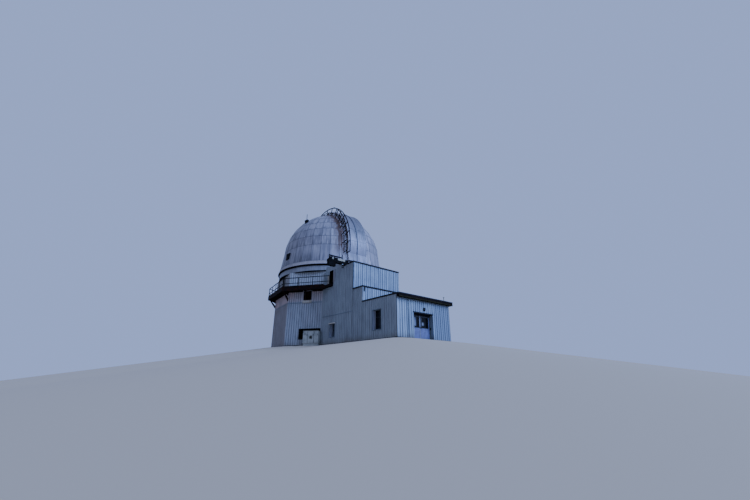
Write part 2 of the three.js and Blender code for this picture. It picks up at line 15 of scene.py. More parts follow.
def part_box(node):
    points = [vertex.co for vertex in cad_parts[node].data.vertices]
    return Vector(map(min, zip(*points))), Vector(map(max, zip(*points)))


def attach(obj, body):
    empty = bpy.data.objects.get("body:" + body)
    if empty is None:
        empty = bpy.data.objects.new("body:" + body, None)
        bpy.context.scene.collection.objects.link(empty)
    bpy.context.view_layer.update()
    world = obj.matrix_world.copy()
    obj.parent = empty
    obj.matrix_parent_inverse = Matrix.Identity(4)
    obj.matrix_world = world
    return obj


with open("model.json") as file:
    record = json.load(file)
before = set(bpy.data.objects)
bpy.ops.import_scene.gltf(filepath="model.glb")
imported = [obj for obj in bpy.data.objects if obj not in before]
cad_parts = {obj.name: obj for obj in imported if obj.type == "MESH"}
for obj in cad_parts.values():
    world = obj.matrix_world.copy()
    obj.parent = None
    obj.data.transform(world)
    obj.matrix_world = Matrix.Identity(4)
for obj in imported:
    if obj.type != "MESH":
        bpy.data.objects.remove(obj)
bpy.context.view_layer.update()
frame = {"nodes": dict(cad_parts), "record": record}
MM = 0.001
UP = Vector((0, 0, 1))
LEFT, RIGHT, FRONT = Vector((-1, 0, 0)), Vector((1, 0, 0)), Vector((0, -1, 0))

# %% [markdown]
# The camera comes first, because every colour and size below is judged through it. It stands low on the slope
# in front of the building and looks up at it through a wide lens. Its place was worked out from the
# building's own straight edges.

# %% Camera
CAMERA_PLACE = (-23.724, -36.828, -2.61)
CAMERA_TURN = 40.53  # degrees from +Y towards +X
CAMERA_TILT = 20.13  # degrees above level

lens = bpy.data.cameras.new("camera")
lens.sensor_width = 36
lens.lens = 16.01
lens.clip_end = 2000
camera = bpy.data.objects.new("camera", lens)
camera.location = CAMERA_PLACE
camera.rotation_euler = (math.radians(90 + CAMERA_TILT), 0, math.radians(-CAMERA_TURN))
bpy.context.scene.collection.objects.link(camera)
bpy.context.scene.camera = camera
print("camera at", CAMERA_PLACE)

# %% [markdown]
# A finish is a small tree of nodes. One helper adds a node with its settings, its values and its links, and one
# turns the sRGB hex colours that a painter would note down into the linear values that the renderer adds up.
# A finish is then built up coat by coat, each laid on by a pattern.


# %% Helpers for finishes
def linear(hex_colour):
    """An sRGB hex colour as linear red, green, blue and alpha."""
    values = [int(hex_colour[i : i + 2], 16) / 255 for i in (1, 3, 5)]
    return [v / 12.92 if v <= 0.04045 else ((v + 0.055) / 1.055) ** 2.4 for v in values] + [1.0]


def feed(tree, made, inputs):
    """Gives a node its inputs, which are values, or the sockets that they link to."""
    for name, value in inputs.items():
        if isinstance(value, bpy.types.NodeSocket):
            tree.links.new(value, made.inputs[name])
        else:
            made.inputs[name].default_value = value


def node(tree, kind, inputs=None, **settings):
    """Adds one node with its settings and its inputs."""
    made = tree.nodes.new(kind)
    for name, value in settings.items():
        setattr(made, name, value)
    feed(tree, made, inputs or {})
    return made


class Finish:
    """A material in the making; its patterns read object coordinates, in metres."""

    def __init__(self, name, colour):
        self.material = bpy.data.materials.new(name)
        self.material.use_nodes = True
        self.tree = self.material.node_tree
        self.place = node(self.tree, "ShaderNodeTexCoord").outputs["Object"]
        self.colour = colour

    def split(self, vector=None):
        """The X, Y and Z of a vector, or else of the place."""
        return node(self.tree, "ShaderNodeSeparateXYZ", {"Vector": vector or self.place}).outputs[:]

    def mapped(self, **settings):
        """The place turned, or multiplied so that a pattern runs thin or long."""
        return node(self.tree, "ShaderNodeMapping", {"Vector": self.place, **settings}).outputs["Vector"]

    def noise(self, scale, detail=4.0, roughness=0.55, place=None):
        inputs = {"Vector": place or self.place, "Scale": scale, "Detail": detail, "Roughness": roughness}
        return node(self.tree, "ShaderNodeTexNoise", inputs).outputs["Fac"]

    def tone(self, number):
        """A random value for each whole number."""
        return node(self.tree, "ShaderNodeTexWhiteNoise", {"W": number}, noise_dimensions="1D").outputs["Value"]

    def spread(self, value, low, high, to_low=0.0, to_high=1.0):
        """A value between low and high, eased and spread over a new range."""
        inputs = {"Value": value, "From Min": low, "From Max": high, "To Min": to_low, "To Max": to_high}
        return node(self.tree, "ShaderNodeMapRange", inputs, interpolation_type="SMOOTHSTEP").outputs["Result"]

    def maths(self, operation, a, b=0.0):
        return node(self.tree, "ShaderNodeMath", {0: a, 1: b}, operation=operation).outputs["Value"]

    def times(self, result, *others):
        """Several values multiplied together."""
        for other in others:
            result = self.maths("MULTIPLY", result, other)
        return result

    def grime(self, streaks, clouds):
        return self.maths("ADD", self.times(streaks, 0.6), self.times(clouds, 0.4))

    def mixed(self, factor, a, b):
        """Two colours mixed by a factor; they are sockets or hex colours."""
        a, b = [linear(colour) if isinstance(colour, str) else colour for colour in (a, b)]
        return node(self.tree, "ShaderNodeMix", {0: factor, 6: a, 7: b}, data_type="RGBA").outputs[2]

    def coat(self, factor, colour):
        self.colour = self.mixed(factor, self.colour, colour)

    def done(self, roughness, relief=None, depth=0.0, shine=0.5, metallic=0.0):
        """Joins it all to the shader; relief is a height pattern, and its depth is in metres."""
        inputs = {"Base Color": self.colour, "Roughness": roughness, "Metallic": metallic}
        inputs["Specular IOR Level"] = shine
        if relief:
            bump = node(self.tree, "ShaderNodeBump", {"Height": relief, "Strength": 1.0, "Distance": depth})
            inputs["Normal"] = bump.outputs["Normal"]
        feed(self.tree, self.tree.nodes["Principled BSDF"], inputs)
        return self.material


# %% [markdown]
# Painted profiled steel sheet covers every wall. Coated in a pale blue-grey, it has turned chalky outdoors, so
# it has a soft, almost matt sheen. Rain leaves streaks that run straight down, each sheet has aged to its own
# tone, and dust has gathered near the ground. The tower's far side is browner than the rest, and rust and pink
# chalk have run down from the balcony. Just under the balcony that pink is also lightened as painted light
# against the deck's shade, and the tower above the balcony is painted paler, as painted light.

# %% Painted sheet for the walls
SHEET_WIDTH = 900 * MM  # a cladding sheet's cover width
STREAK_WIDTH = 60 * MM  # the width of a rain streak
DUST = "#443b2e"


def painted_sheet(name, clean, dirty, stain, stain_amount, shine=0.5, weather=None):
    f = Finish(name, clean)
    x, y, z = f.split()
    streaks = f.noise(1 / STREAK_WIDTH, 3.0, place=f.mapped(Scale=(1, 1, 0.04)))
    clouds = f.noise(0.8, 5.0)
    grime = f.grime(streaks, clouds)
    f.coat(f.spread(grime, 0.36, 0.68), dirty)
    sheet = f.maths("FLOOR", f.maths("DIVIDE", f.maths("ADD", x, y), SHEET_WIDTH))
    f.coat(f.spread(f.tone(sheet), 0, 1, 0.0, 0.3), dirty)
    f.coat(f.times(f.spread(z, 0.05, 0.7, 1.0, 0.0), clouds), DUST)
    if weather:
        weather(f, x, y, z)
    f.coat(f.times(f.spread(streaks, 0.5, 0.72), stain_amount), stain)
    return f.done(f.spread(grime, 0.3, 0.7, 0.42, 0.62), f.noise(4.0, 2.0), 3 * MM, shine)


def annex_weather(f, x, y, _):
    """The front is duller towards its right end, and the left wall is browner."""
    f.coat(f.times(f.spread(x, 0.0, 1.0), f.spread(y, -16.75, -16.65, 1.0, 0.0), 0.9), "#68737f")
    f.coat(f.spread(x, -4.2, -4.15, 0.3, 0.0), "#8a7d6b")


def tower_weather(f, _, y, z):
    """The tower is painted paler above the balcony as painted light, browner on its far side, and pinkish just
    under the balcony, where the pink is also lightened as painted light against the deck's shade.
    """
    # painted light: the sheet above the balcony is made paler
    f.coat(f.spread(z, 6.4, 6.5, 0.0, 0.7), "#aaabaa")
    f.coat(f.spread(y, -1.65, -1.5, 0.0, 0.5), "#736057")
    # pink chalk under the balcony, lightened further as painted light against the deck's shade
    band = f.times(f.spread(z, 4.78, 5.03), f.spread(z, 6.2, 6.3, 1.0, 0.0))
    patches = f.spread(f.noise(0.5, 3.0), 0.42, 0.6, 0.45, 1.0)
    f.coat(f.times(band, patches, 0.75), "#bfa39c")


ANNEX_SHEET = painted_sheet(
    "painted_steel_sheet_annex", "#89949a", "#68737f", "#564847", 0.25, weather=annex_weather
)
TOWER_SHEET = painted_sheet(
    "painted_steel_sheet_tower", "#969698", "#757779", "#8b7169", 0.35, weather=tower_weather
)
# Dark strips beside the ribs: painted shade where each rib's flank lies in shade.
RIB_SHADE_SHEET = painted_sheet("painted_shade_beside_ribs", "#3a404d", "#292f3a", "#352b2e", 0.4)
TRIM_SHEET = painted_sheet("painted_steel_flashing", "#636d78", "#48525e", "#44393a", 0.3)
RING_SHEET = painted_sheet("painted_steel_fascia", "#8f8d90", "#6f7073", "#66554b", 0.35)
SKIRT_SHEET = painted_sheet("painted_steel_skirt", "#a19590", "#7f7775", "#725b4d", 0.35)
PALE_FLASHING = painted_sheet("galvanised_flashing", "#a99f8e", "#867b6a", "#705b48", 0.4)
RUSTY_FLASHING = painted_sheet("rust_streaked_flashing", "#807f82", "#69676b", "#704d41", 0.8)
LINING_SHEET = painted_sheet("painted_reveal_lining", "#b2b4be", "#8f919b", "#5d5350", 0.3)
HOOD_SHEET = painted_sheet("bare_galvanised_hood", "#cbc0b0", "#a49b8c", "#7a6655", 0.3)
DARK_FLASHING = painted_sheet("tarred_flashing", "#1b1b1e", "#111113", "#170f0d", 0.3, 0.12)
print("sheet finishes:", ANNEX_SHEET.name, TOWER_SHEET.name, TRIM_SHEET.name)

# %% [markdown]
# The dome is lapped aluminium sheet, in rows of panels between upright joints. It is dull from wind-blown grit,
# each panel has its own tone, and soot-dark runs taper up from every lap, where the wind drives the dirt.
# Beside the ladder, rust from the steel has washed down over the sheet. The patterns read the angle round the
# dome and the height up its curve, so they follow the panels.

# %% Weathered aluminium for the dome
DOME_CENTRE = 11.6
DOME_RADIUS = 6.35
DOME_TURN = 264.6  # the way the slit faces, in degrees from +X
GORE = 10.0  # degrees from one upright joint to the next
FIRST_ROW = 1.5  # degrees above the centre's level at the lowest lap but one
ROW_STEP = 10.5  # degrees from lap to lap
FOOT_SQUEEZE = 0.53  # the tall bottom row counted as one row


def panel_axes(f, across, ahead, z):
    """Gores round from the slit, and rows up from the first lap."""
    gores = f.maths("MULTIPLY", f.maths("ARCTAN2", across, ahead), 180 / math.pi / GORE)
    height = f.maths("DIVIDE", f.maths("SUBTRACT", z, DOME_CENTRE), DOME_RADIUS)
    rise = f.maths("MULTIPLY", f.maths("ARCSINE", f.maths("MINIMUM", height, 1.0)), 180 / math.pi)
    rows = f.maths("DIVIDE", f.maths("SUBTRACT", rise, FIRST_ROW), ROW_STEP)
    return gores, f.maths("MAXIMUM", rows, f.maths("MULTIPLY", rows, FOOT_SQUEEZE))


def dome_sheet(name, clean, dirty, soot, rust_amount, panels=1.0, painted_light_flank=None):
    """Ahead and across are measured from the dome's axis, through the slit and along its width."""
    f = Finish(name, clean)
    ahead, across, z = f.split(f.mapped(Rotation=(0, 0, math.radians(-DOME_TURN))))
    gores, rows = panel_axes(f, across, ahead, z)
    number = f.maths("ADD", f.maths("FLOOR", gores), f.times(f.maths("FLOOR", rows), 17.3))
    sheet_place = node(f.tree, "ShaderNodeCombineXYZ", {"X": gores, "Y": f.times(rows, 0.16), "Z": number})
    streaks = f.noise(5.0, 3.0, place=sheet_place.outputs["Vector"])
    clouds = f.noise(0.6, 5.0)
    grime = f.grime(streaks, clouds)
    f.coat(f.spread(grime, 0.38, 0.64), dirty)
    f.coat(f.spread(f.tone(number), 0, 1, 0.0, 0.45 * panels), dirty)
    f.coat(f.times(f.spread(z, 9.6, 11.4, 0.45, 0.0), f.spread(gores, -7.0, -2.5, 1.0, 0.0), panels), soot)

    up = f.maths("FRACT", rows)
    runs = f.times(f.spread(streaks, 0.46, 0.66), f.spread(up, 0.0, 0.55, 1.0, 0.0), 0.55 * panels)
    beside = f.maths("ABSOLUTE", f.maths("SUBTRACT", f.maths("FRACT", f.maths("ADD", gores, 0.5)), 0.5))
    edge = f.maths("SUBTRACT", beside, f.spread(up, 0.0, 0.8, 0.05, 0.012))
    wedge = f.times(f.spread(edge, -0.012, 0.012, 1.0, 0.0), 0.6 * panels)
    f.coat(f.maths("MAXIMUM", runs, wedge), soot)

    over_front = f.spread(ahead, -1.5, 0.5)
    wash = f.spread(f.noise(5.0, place=f.mapped(Scale=(1, 1, 0.1))), 0.3, 0.56)
    near = f.times(f.spread(across, -3.1, -1.9), f.spread(across, -1.62, -1.5, 1.0, 0.0))
    f.coat(f.times(near, over_front, f.spread(z, 10.2, 11.4), wash, rust_amount), "#543522")
    drips = f.spread(clouds, 0.3, 0.6, 0.6, 1.0)
    nearest = f.times(f.spread(across, -2.4, -2.0), f.spread(across, -1.8, -1.75, 1.0, 0.0))
    f.coat(f.times(nearest, over_front, f.spread(z, 10.9, 13.6, 0.2, 0.85), drips, rust_amount), "#3c1e0a")
    # The shutter is paler towards its foot above the apron, and its left flank, which lies in shade, is painted
    # near white as painted light.
    if painted_light_flank:
        over_apron = f.spread(z, 10.6, 10.7, 0.4, 1.0)
        f.coat(f.times(f.spread(z, 10.8, 13.6, 0.65, 0.0), over_apron), "#847f86")
        f.coat(f.times(f.spread(across, -1.267, -1.262, 1.0, 0.0), f.spread(ahead, 0.0, 0.8)), painted_light_flank)
    return f.done(f.spread(grime, 0.3, 0.7, 0.42, 0.6), f.noise(3.0, 2.0), 4 * MM, metallic=0.25)


DOME_SHEET = dome_sheet("weathered_aluminium_sheet", "#9b9394", "#746f73", "#454347", 0.95)
# The last colour is the shutter's left flank, painted near white as painted light on a side in shade.
SHUTTER_SHEET = dome_sheet("weathered_aluminium_shutter", "#6a6569", "#4c494c", "#3a383a", 0.0, 0.3, "#e6e0e2")
JOINT_SHEET = dome_sheet("dark_lapped_joint", "#616066", "#47474a", "#323133", 0.8, 0.3)
print("dome finishes:", DOME_SHEET.name, SHUTTER_SHEET.name, JOINT_SHEET.name)

# %% [markdown]
# Mild steel carries the balcony, the ladder and the platform. Its dark paint has gone, and the red-brown scale
# under it is rough and takes the light in patches. Rust is never one colour: it runs from near black to orange
# where it is fresh.


# %% Rusted steel
def rusted_steel(name, dark, scale, fresh, fresh_amount):
    f = Finish(name, dark)
    patches, grain = f.noise(3.0, 8.0, 0.65), f.noise(40.0)
    f.coat(f.spread(patches, 0.4, 0.62), scale)
    spots = f.times(f.spread(grain, 0.5, 0.7), f.spread(patches, 0.5, 0.68))
    f.coat(f.times(spots, fresh_amount), fresh)
    return f.done(f.spread(patches, 0.35, 0.65, 0.65, 0.95), grain, 1.5 * MM, 0.08)


BALCONY_STEEL = rusted_steel("rusted_mild_steel", "#0b0808", "#22110c", "#5a2a17", 0.6)
RAIL_STEEL = rusted_steel("painted_rail_steel", "#070706", "#0e0b0b", "#26160f", 0.4)
LADDER_STEEL = rusted_steel("rusted_ladder_steel", "#0c0808", "#24130d", "#552914", 0.6)
PLATFORM_STEEL = rusted_steel("tarred_platform_steel", "#040404", "#0a0806", "#26150d", 0.5)
DARK_STEEL = rusted_steel("dark_painted_steel", "#0b0b0d", "#141516", "#2e1e15", 0.3)
INTAKE_STEEL = rusted_steel("tarred_intake_steel", "#030404", "#080809", "#0e0908", 0.3)
BROWN_LOUVRE = rusted_steel("brown_painted_louvre", "#1f0e0a", "#301812", "#4a2417", 0.4)

# %% [markdown]
# The roofs are bitumen felt: tarred black on their edges, grey with mineral grit where they lie flat, over
# mossy fascia boards. The floors are cast concrete, seen only when a door stands open. The door's paint is a
# lavender enamel that has lost its gloss, painted near black along its top rail and the right leaf's meeting
# stile as painted shade. The panes hold a film of dust, and the door panes carry a painted reflection of the
# sky.


# %% Felt, concrete, door paint and glass
def mottled(name, first, second, scale, roughness, depth, shine=0.5):
    f = Finish(name, first)
    f.coat(f.spread(f.noise(scale, 7.0, 0.6), 0.38, 0.64), second)
    return f.done(roughness, f.noise(scale * 12, 3.0), depth, shine)


def roofing_felt():
    f = Finish("bitumen_felt", "#24211f")
    blotches = f.spread(f.noise(2.0, 7.0, 0.6), 0.38, 0.64)
    f.coat(blotches, "#37322d")
    f.coat(f.spread(f.noise(0.7, 3.0), 0.5, 0.62, 0.0, 0.6), "#4e463b")
    edge = f.mixed(blotches, "#0d0a0b", "#1b1313")
    facing = f.split(node(f.tree, "ShaderNodeNewGeometry").outputs["Normal"])[2]
    f.colour = f.mixed(f.spread(facing, 0.5, 0.9), edge, f.colour)
    return f.done(0.9, f.noise(24.0, 3.0), 3 * MM, 0.04)


def zone(f, low, high, soft):
    """One inside a box in X and Z, easing to nothing over its soft edge."""
    x, _, z = f.split()
    edges = []
    for axis, start, end in ((x, low[0], high[0]), (z, low[1], high[1])):
        edges += [f.spread(axis, start - soft, start + soft), f.spread(axis, end - soft, end + soft, 1.0, 0.0)]
    return f.times(*edges)


def door_enamel():
    """Lavender enamel, painted near black along the top rail and up the right leaf's meeting stile, as painted
    shade under the head and round the panes.
    """
    f = Finish("gloss_enamel_lavender", "#5c5e7d")
    f.coat(f.spread(f.noise(2.5, 7.0, 0.6), 0.38, 0.64), "#50526c")
    # Near black along the top rail and up the meeting stile: painted shade under the head and round the panes.
    top_rail_shade = zone(f, (-3.0, 2.1), (1.0, 2.5), 0.01)
    meeting_stile_shade = zone(f, (-0.92, 1.05), (-0.78, 2.5), 0.02)
    f.coat(f.maths("MAXIMUM", top_rail_shade, meeting_stile_shade), "#17171a")
    return f.done(0.5, f.noise(30.0, 3.0), 1 * MM)


def pane_glass(name, low, high, reflection):
    """Dark glass with a painted reflection of the sky on part of it."""
    f = Finish(name, "#030305")
    reflection_streaks = f.spread(f.noise(6.0, 3.0, place=f.mapped(Scale=(1, 1, 0.35))), 0.35, 0.6, 0.5, 1.0)
    f.coat(f.times(zone(f, low, high, 0.07), reflection_streaks), reflection)
    return f.done(0.15, shine=0.2)


FELT = roofing_felt()
SOFFIT_BOARD = mottled("mossy_soffit_board", "#17160d", "#282413", 3.0, 0.85, 2 * MM, 0.05)
# Near-black sheet for the ring's underside, the gap above the ring and the skirt's underside: painted shade.
PAINTED_SHADE_SHEET = mottled("painted_shade_soffit_sheet", "#0d0d0f", "#161515", 1.5, 0.9, 2 * MM, 0.04)
CONCRETE = mottled("cast_concrete", "#736857", "#574f40", 1.5, 0.9, 2 * MM)
STILE_PAINT = mottled("worn_enamel_stile", "#6c6b76", "#5c5c67", 4.0, 0.5, 1 * MM)
FRAME_PAINT = mottled("grey_green_frame_paint", "#565b54", "#444841", 2.5, 0.6, 1 * MM)
CABINET_PAINT = mottled("powder_coated_steel", "#9a978b", "#838278", 2.0, 0.5, 0.5 * MM)
KICK_PAINT = mottled("weathered_kick_board", "#98917b", "#6f6956", 3.0, 0.7, 1 * MM, 0.2)
GLASS = mottled("dusty_window_glass", "#020202", "#080909", 2.5, 0.15, 0.2 * MM)
# Near-black glazing beads: painted shade round the door panes.
BEAD_PAINT = mottled("painted_shade_glazing_bead", "#15161a", "#22252a", 4.0, 0.6, 0.5 * MM)
WINDOW_PAINT = mottled("dark_window_paint", "#1d1e1f", "#141516", 3.0, 0.55, 0.5 * MM)
DULL_GLASS = mottled("whitewashed_glass", "#4c5157", "#3a3e44", 2.0, 0.4, 0.2 * MM)
DOOR_PAINT = door_enamel()
# Each door pane's pale patch is a painted reflection of the sky.
DOOR_GLASS = pane_glass("dusty_door_glass", (-2.0, 1.25), (-1.45, 2.02), "#686c79")
DARK_GLASS = pane_glass("dark_door_glass", (-0.68, 1.34), (-0.42, 1.6), "#7a7c83")

FINISHES = {
    "tower_cladding": TOWER_SHEET,
    "wall_cladding": ANNEX_SHEET,
    "roof_felt": FELT,
    "concrete": CONCRETE,
    "dome_sheet": DOME_SHEET,
    "rusty_steel": BALCONY_STEEL,
    "dark_metal": DARK_STEEL,
    "door_paint": DOOR_PAINT,
    "glass": GLASS,
}
OWN_FINISHES = (
    (SHUTTER_SHEET, "shutter slit_rail_left slit_rail_right"),
    (LADDER_STEEL, "dome_ladder"),
    (RING_SHEET, "tower_ring"),
    (SKIRT_SHEET, "dome_skirt"),
    (CABINET_PAINT, "equipment_cabinet"),
    (HOOD_SHEET, "small_window_hood"),
    (KICK_PAINT, "platform_kick_plate"),
    (PLATFORM_STEEL, "platform_deck platform_rail"),
    (INTAKE_STEEL, "air_intake balcony_door"),
    (RAIL_STEEL, "balcony_rail_front balcony_rail_left balcony_rail_back balcony_rail_right"),
    (BROWN_LOUVRE, "louvre_window_front louvre_window_back louvre_window_right"),
    (FRAME_PAINT, "door_frame"),
    (DULL_GLASS, "small_window"),
    (DOOR_GLASS, "door_glass_left"),
    (DARK_GLASS, "door_glass_right"),
)
own_finish = {name: finish for finish, names in OWN_FINISHES for name in names.split()}
for part in frame["record"]["subparts"]:
    name, slot = part["node"], part["material_slot"]
    for holder in frame["nodes"][name].material_slots:
        holder.material = own_finish.get(name, FINISHES[slot])

# %% [markdown]
# Every new piece is made in a bmesh, written to an object at the origin, and told which body carries it and
# which finish it takes. One helper does that last step for all of them. The others make the shapes that a
# sheet-metal worker uses again and again: a block, a flat strip laid on a surface, four strips round an
# opening, a round bar, and an outline turned round the tower's axis.


# %% Helpers for pieces
def piece(name, mesh, material, body="building"):
    """Turns a finished bmesh into an object that rides on a body."""
    bmesh.ops.recalc_face_normals(mesh, faces=mesh.faces)
    data = bpy.data.meshes.new(name)
    mesh.to_mesh(data)
    mesh.free()
    data.materials.append(material)
    made = bpy.data.objects.new(name, data)
    bpy.context.scene.collection.objects.link(made)
    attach(made, body)
    print(name, len(data.polygons), "faces")


def cube(mesh, matrix, rounding):
    """A cube of one metre, stretched and placed by a matrix, with every edge rounded a little."""
    verts = bmesh.ops.create_cube(mesh, size=1, matrix=matrix)["verts"]
    if rounding:
        edges = list({edge for vert in verts for edge in vert.link_edges})
        bmesh.ops.bevel(mesh, geom=edges, offset=rounding, segments=1, profile=0.5, affect="EDGES", material=-1)


def block(mesh, low, high, rounding=0.0):
    """A box between two corners."""
    low, high = Vector(low), Vector(high)
    cube(mesh, Matrix.Translation((low + high) / 2) @ Matrix.Diagonal((*(high - low), 1)), rounding)


def strip(mesh, start, end, outward, width, depth, sunk=4 * MM, rounding=0.0):
    """A straight strip laid on a surface: width across it, depth out of it, its back sunk a little."""
    start, end, outward = Vector(start), Vector(end), Vector(outward)
    along = (end - start).normalized()
    outward = (outward - along * along.dot(outward)).normalized()
    turn = Matrix((along, along.cross(outward), outward)).transposed().to_4x4()
    size = Matrix.Diagonal(((end - start).length, width, depth + sunk, 1))
    middle = (start + end) / 2 + outward * (depth - sunk) / 2
    cube(mesh, Matrix.Translation(middle) @ turn @ size, rounding)


def level(mesh, start, end, z, *shape, **more):
    """A level strip between two places on the plan."""
    strip(mesh, (*start, z), (*end, z), *shape, **more)


def upright(mesh, place, low, high, *shape, **more):
    """An upright strip over a place on the plan."""
    strip(mesh, (*place, low), (*place, high), *shape, **more)


def framed(mesh, spot, opening, outward, width, depth, inset=None, **more):
    """Strips round an opening of (from, to, bottom, top); spot makes a point from along and up."""
    a, b, low, high = opening
    inset = width / 2 if inset is None else inset
    for z in (low + inset, high - inset):
        strip(mesh, spot(a, z), spot(b, z), outward, width, depth, **more)
    for s in (a + inset, b - inset):
        strip(mesh, spot(s, low), spot(s, high), outward, width, depth, **more)


def rod(mesh, start, end, radius, sides=12, tip=None):
    """A round bar from start to end, or a cone where the tip has its own radius."""
    start, end = Vector(start), Vector(end)
    turn = UP.rotation_difference(end - start).to_matrix().to_4x4()
    place = Matrix.Translation((start + end) / 2) @ turn
    tip = radius if tip is None else tip
    length = (end - start).length
    bmesh.ops.create_cone(
        mesh, cap_ends=True, segments=sides, radius1=radius, radius2=tip, depth=length, matrix=place
    )


def plate(mesh, outline, thickness):
    """A flat plate: an outline of points, drawn out by its thickness."""
    face = mesh.faces.new([mesh.verts.new(point) for point in outline])
    grown = bmesh.ops.extrude_face_region(mesh, geom=[face])["geom"]
    bmesh.ops.translate(mesh, verts=[v for v in grown if isinstance(v, bmesh.types.BMVert)], vec=thickness)


def turned(mesh, profile, steps=72):
    """A closed outline of (radius, height) points, spun once round the tower's axis."""
    first = [mesh.verts.new((radius, 0, height)) for radius, height in profile]
    edges = [mesh.edges.new(pair) for pair in zip(first, first[1:] + first[:1])]
    geom = first + edges
    bmesh.ops.spin(mesh, geom=geom, angle=math.tau, steps=steps, axis=UP, cent=(0, 0, 0), use_merge=True)


def radial(degrees):
    """The level direction at an angle from +X."""
    return Vector((math.cos(math.radians(degrees)), math.sin(math.radians(degrees)), 0))


def crosswise(direction):
    """A level direction turned a quarter to the left."""
    return Vector((-direction.y, direction.x, 0))


def spaced(first, last, step):
    """Places from first on, a step apart, that lie before last."""
    return [first + i * step for i in range(math.ceil((last - first) / step))]


# %% [markdown]
# Profiled sheet has a rolled rib about every 280 mm. A rib could be a bump in the finish, but from the side its
# real depth shows on the building's outline, so each rib is a bar whose outer face is narrower than its foot,
# with a dark strip beside it as painted shade on its shaded flank. Ribs stop at each opening of their wall.

# %% Cladding ribs
RIB_PITCH = 280 * MM
RIB_FOOT = 90 * MM
RIB_TOP = 45 * MM
RIB_DEPTH = 28 * MM
SHORTEST_RIB = 50 * MM


def add_rib(mesh, foot, along, outward, bottom, top):
    """One upright rib on a wall, centred on its foot point."""
    made = bmesh.ops.create_cube(mesh, size=1)["verts"]
    outer = [v for v in made if v.co.y > 0]
    bmesh.ops.scale(mesh, verts=outer, vec=(RIB_TOP / RIB_FOOT, 1, 1))
    bmesh.ops.scale(mesh, verts=made, vec=(RIB_FOOT, RIB_DEPTH, top - bottom))
    bmesh.ops.translate(mesh, verts=made, vec=(0, RIB_DEPTH / 2, (top + bottom) / 2))
    turn = Matrix((along, outward, UP)).transposed().to_4x4()
    bmesh.ops.transform(mesh, matrix=Matrix.Translation((foot.x, foot.y, 0)) @ turn, verts=made)


def free_lengths(bottom, top, holes):
    """The stretches from bottom to top that no hole takes away."""
    stretches = [(bottom, top)]
    for low, high in holes:
        parts = [part for a, b in stretches for part in ((a, min(b, low)), (max(a, high), b))]
        stretches = [(a, b) for a, b in parts if b - a > SHORTEST_RIB]
    return stretches


def rib_wall(ribs, rib_shade_lines, start, end, outward, bottom, top, openings, widths):
    """Ribs along a wall; openings are (from, to, bottom, top), measured from its start."""
    start, end = Vector(start), Vector(end)
    length = (end - start).length
    along = (end - start).normalized()
    count = round(length / RIB_PITCH)
    for i in range(count):
        at = (i + 0.5) * length / count
        width = widths[i % 2]
        beside = start + along * (at - (RIB_FOOT + width) / 2)
        holes = [(o[2], o[3]) for o in openings if o[0] - RIB_FOOT / 2 < at < o[1] + RIB_FOOT / 2]
        for low, high in free_lengths(bottom, top, holes):
            add_rib(ribs, start + along * at, along, outward, low, high)
            # a dark strip beside each rib: painted shade on its shaded flank
            upright(rib_shade_lines, beside.xy, low, high, outward, width, 3 * MM)


def from_start(openings, start):
    """Openings measured from a wall's start, from openings measured along X or Y."""
    return [(low - start, high - start, bottom, top) for low, high, bottom, top in openings]


# %% Ribs on the annex
ANNEX_LEFT, ANNEX_RIGHT, ANNEX_FRONT = -4.22, 2.14, -16.8
LOW_RIGHT, LOW_BACK, LOW_TOP = 2.76, -12.18, 3.67
MID_BACK, MID_TOP, HIGH_TOP = -10.65, 5.15, 8.03
LOW_ROOF, MID_ROOF, HIGH_ROOF = 3.78, 5.27, 8.15
TOWER_MEETS_LEFT, TOWER_MEETS_RIGHT = -5.2, -6.3  # where the tower takes over from the annex's side walls
DECK_UNDER, DECK_TOP, RING_UNDER = 6.16, 6.42, 8.35
DOORWAY = (-2.2, 0.36, 2.3)  # left, right and head
EAVES = 3.45
SIDE_WINDOW = (-14.83, -13.71, 0.9, 2.65)
SMALL_WINDOW = (-7.67, -6.76, 0.78, 2.1)
BALCONY_DOOR = (-6.95, -6.35, 6.42, 7.95)
LEFT_OPENINGS = [SIDE_WINDOW, SMALL_WINDOW, BALCONY_DOOR, (-7.0, -5.4, DECK_UNDER, DECK_TOP)]
FRONT_OPENINGS = [(DOORWAY[0] - 0.06, DOORWAY[1] + 0.06, 0, DOORWAY[2] + 0.12)]
LEFT_SEAM = 3.0  # a lap across the left wall


def clad(name, outward, openings, widths, runs):
    """Ribs, with painted shade lines beside them, on the walls that face one way, each from a place to a place
    on the plan.
    """
    ribs, rib_shade_lines = bmesh.new(), bmesh.new()
    axis = 0 if outward is FRONT else 1
    for start, end, bottom, top in runs:
        cuts = from_start(openings, start[axis])
        rib_wall(ribs, rib_shade_lines, (*start, 0), (*end, 0), outward, bottom, top, cuts, widths)
    piece(f"{name}_wall_ribs", ribs, ANNEX_SHEET)
    piece(f"{name}_wall_rib_shade_lines", rib_shade_lines, RIB_SHADE_SHEET)


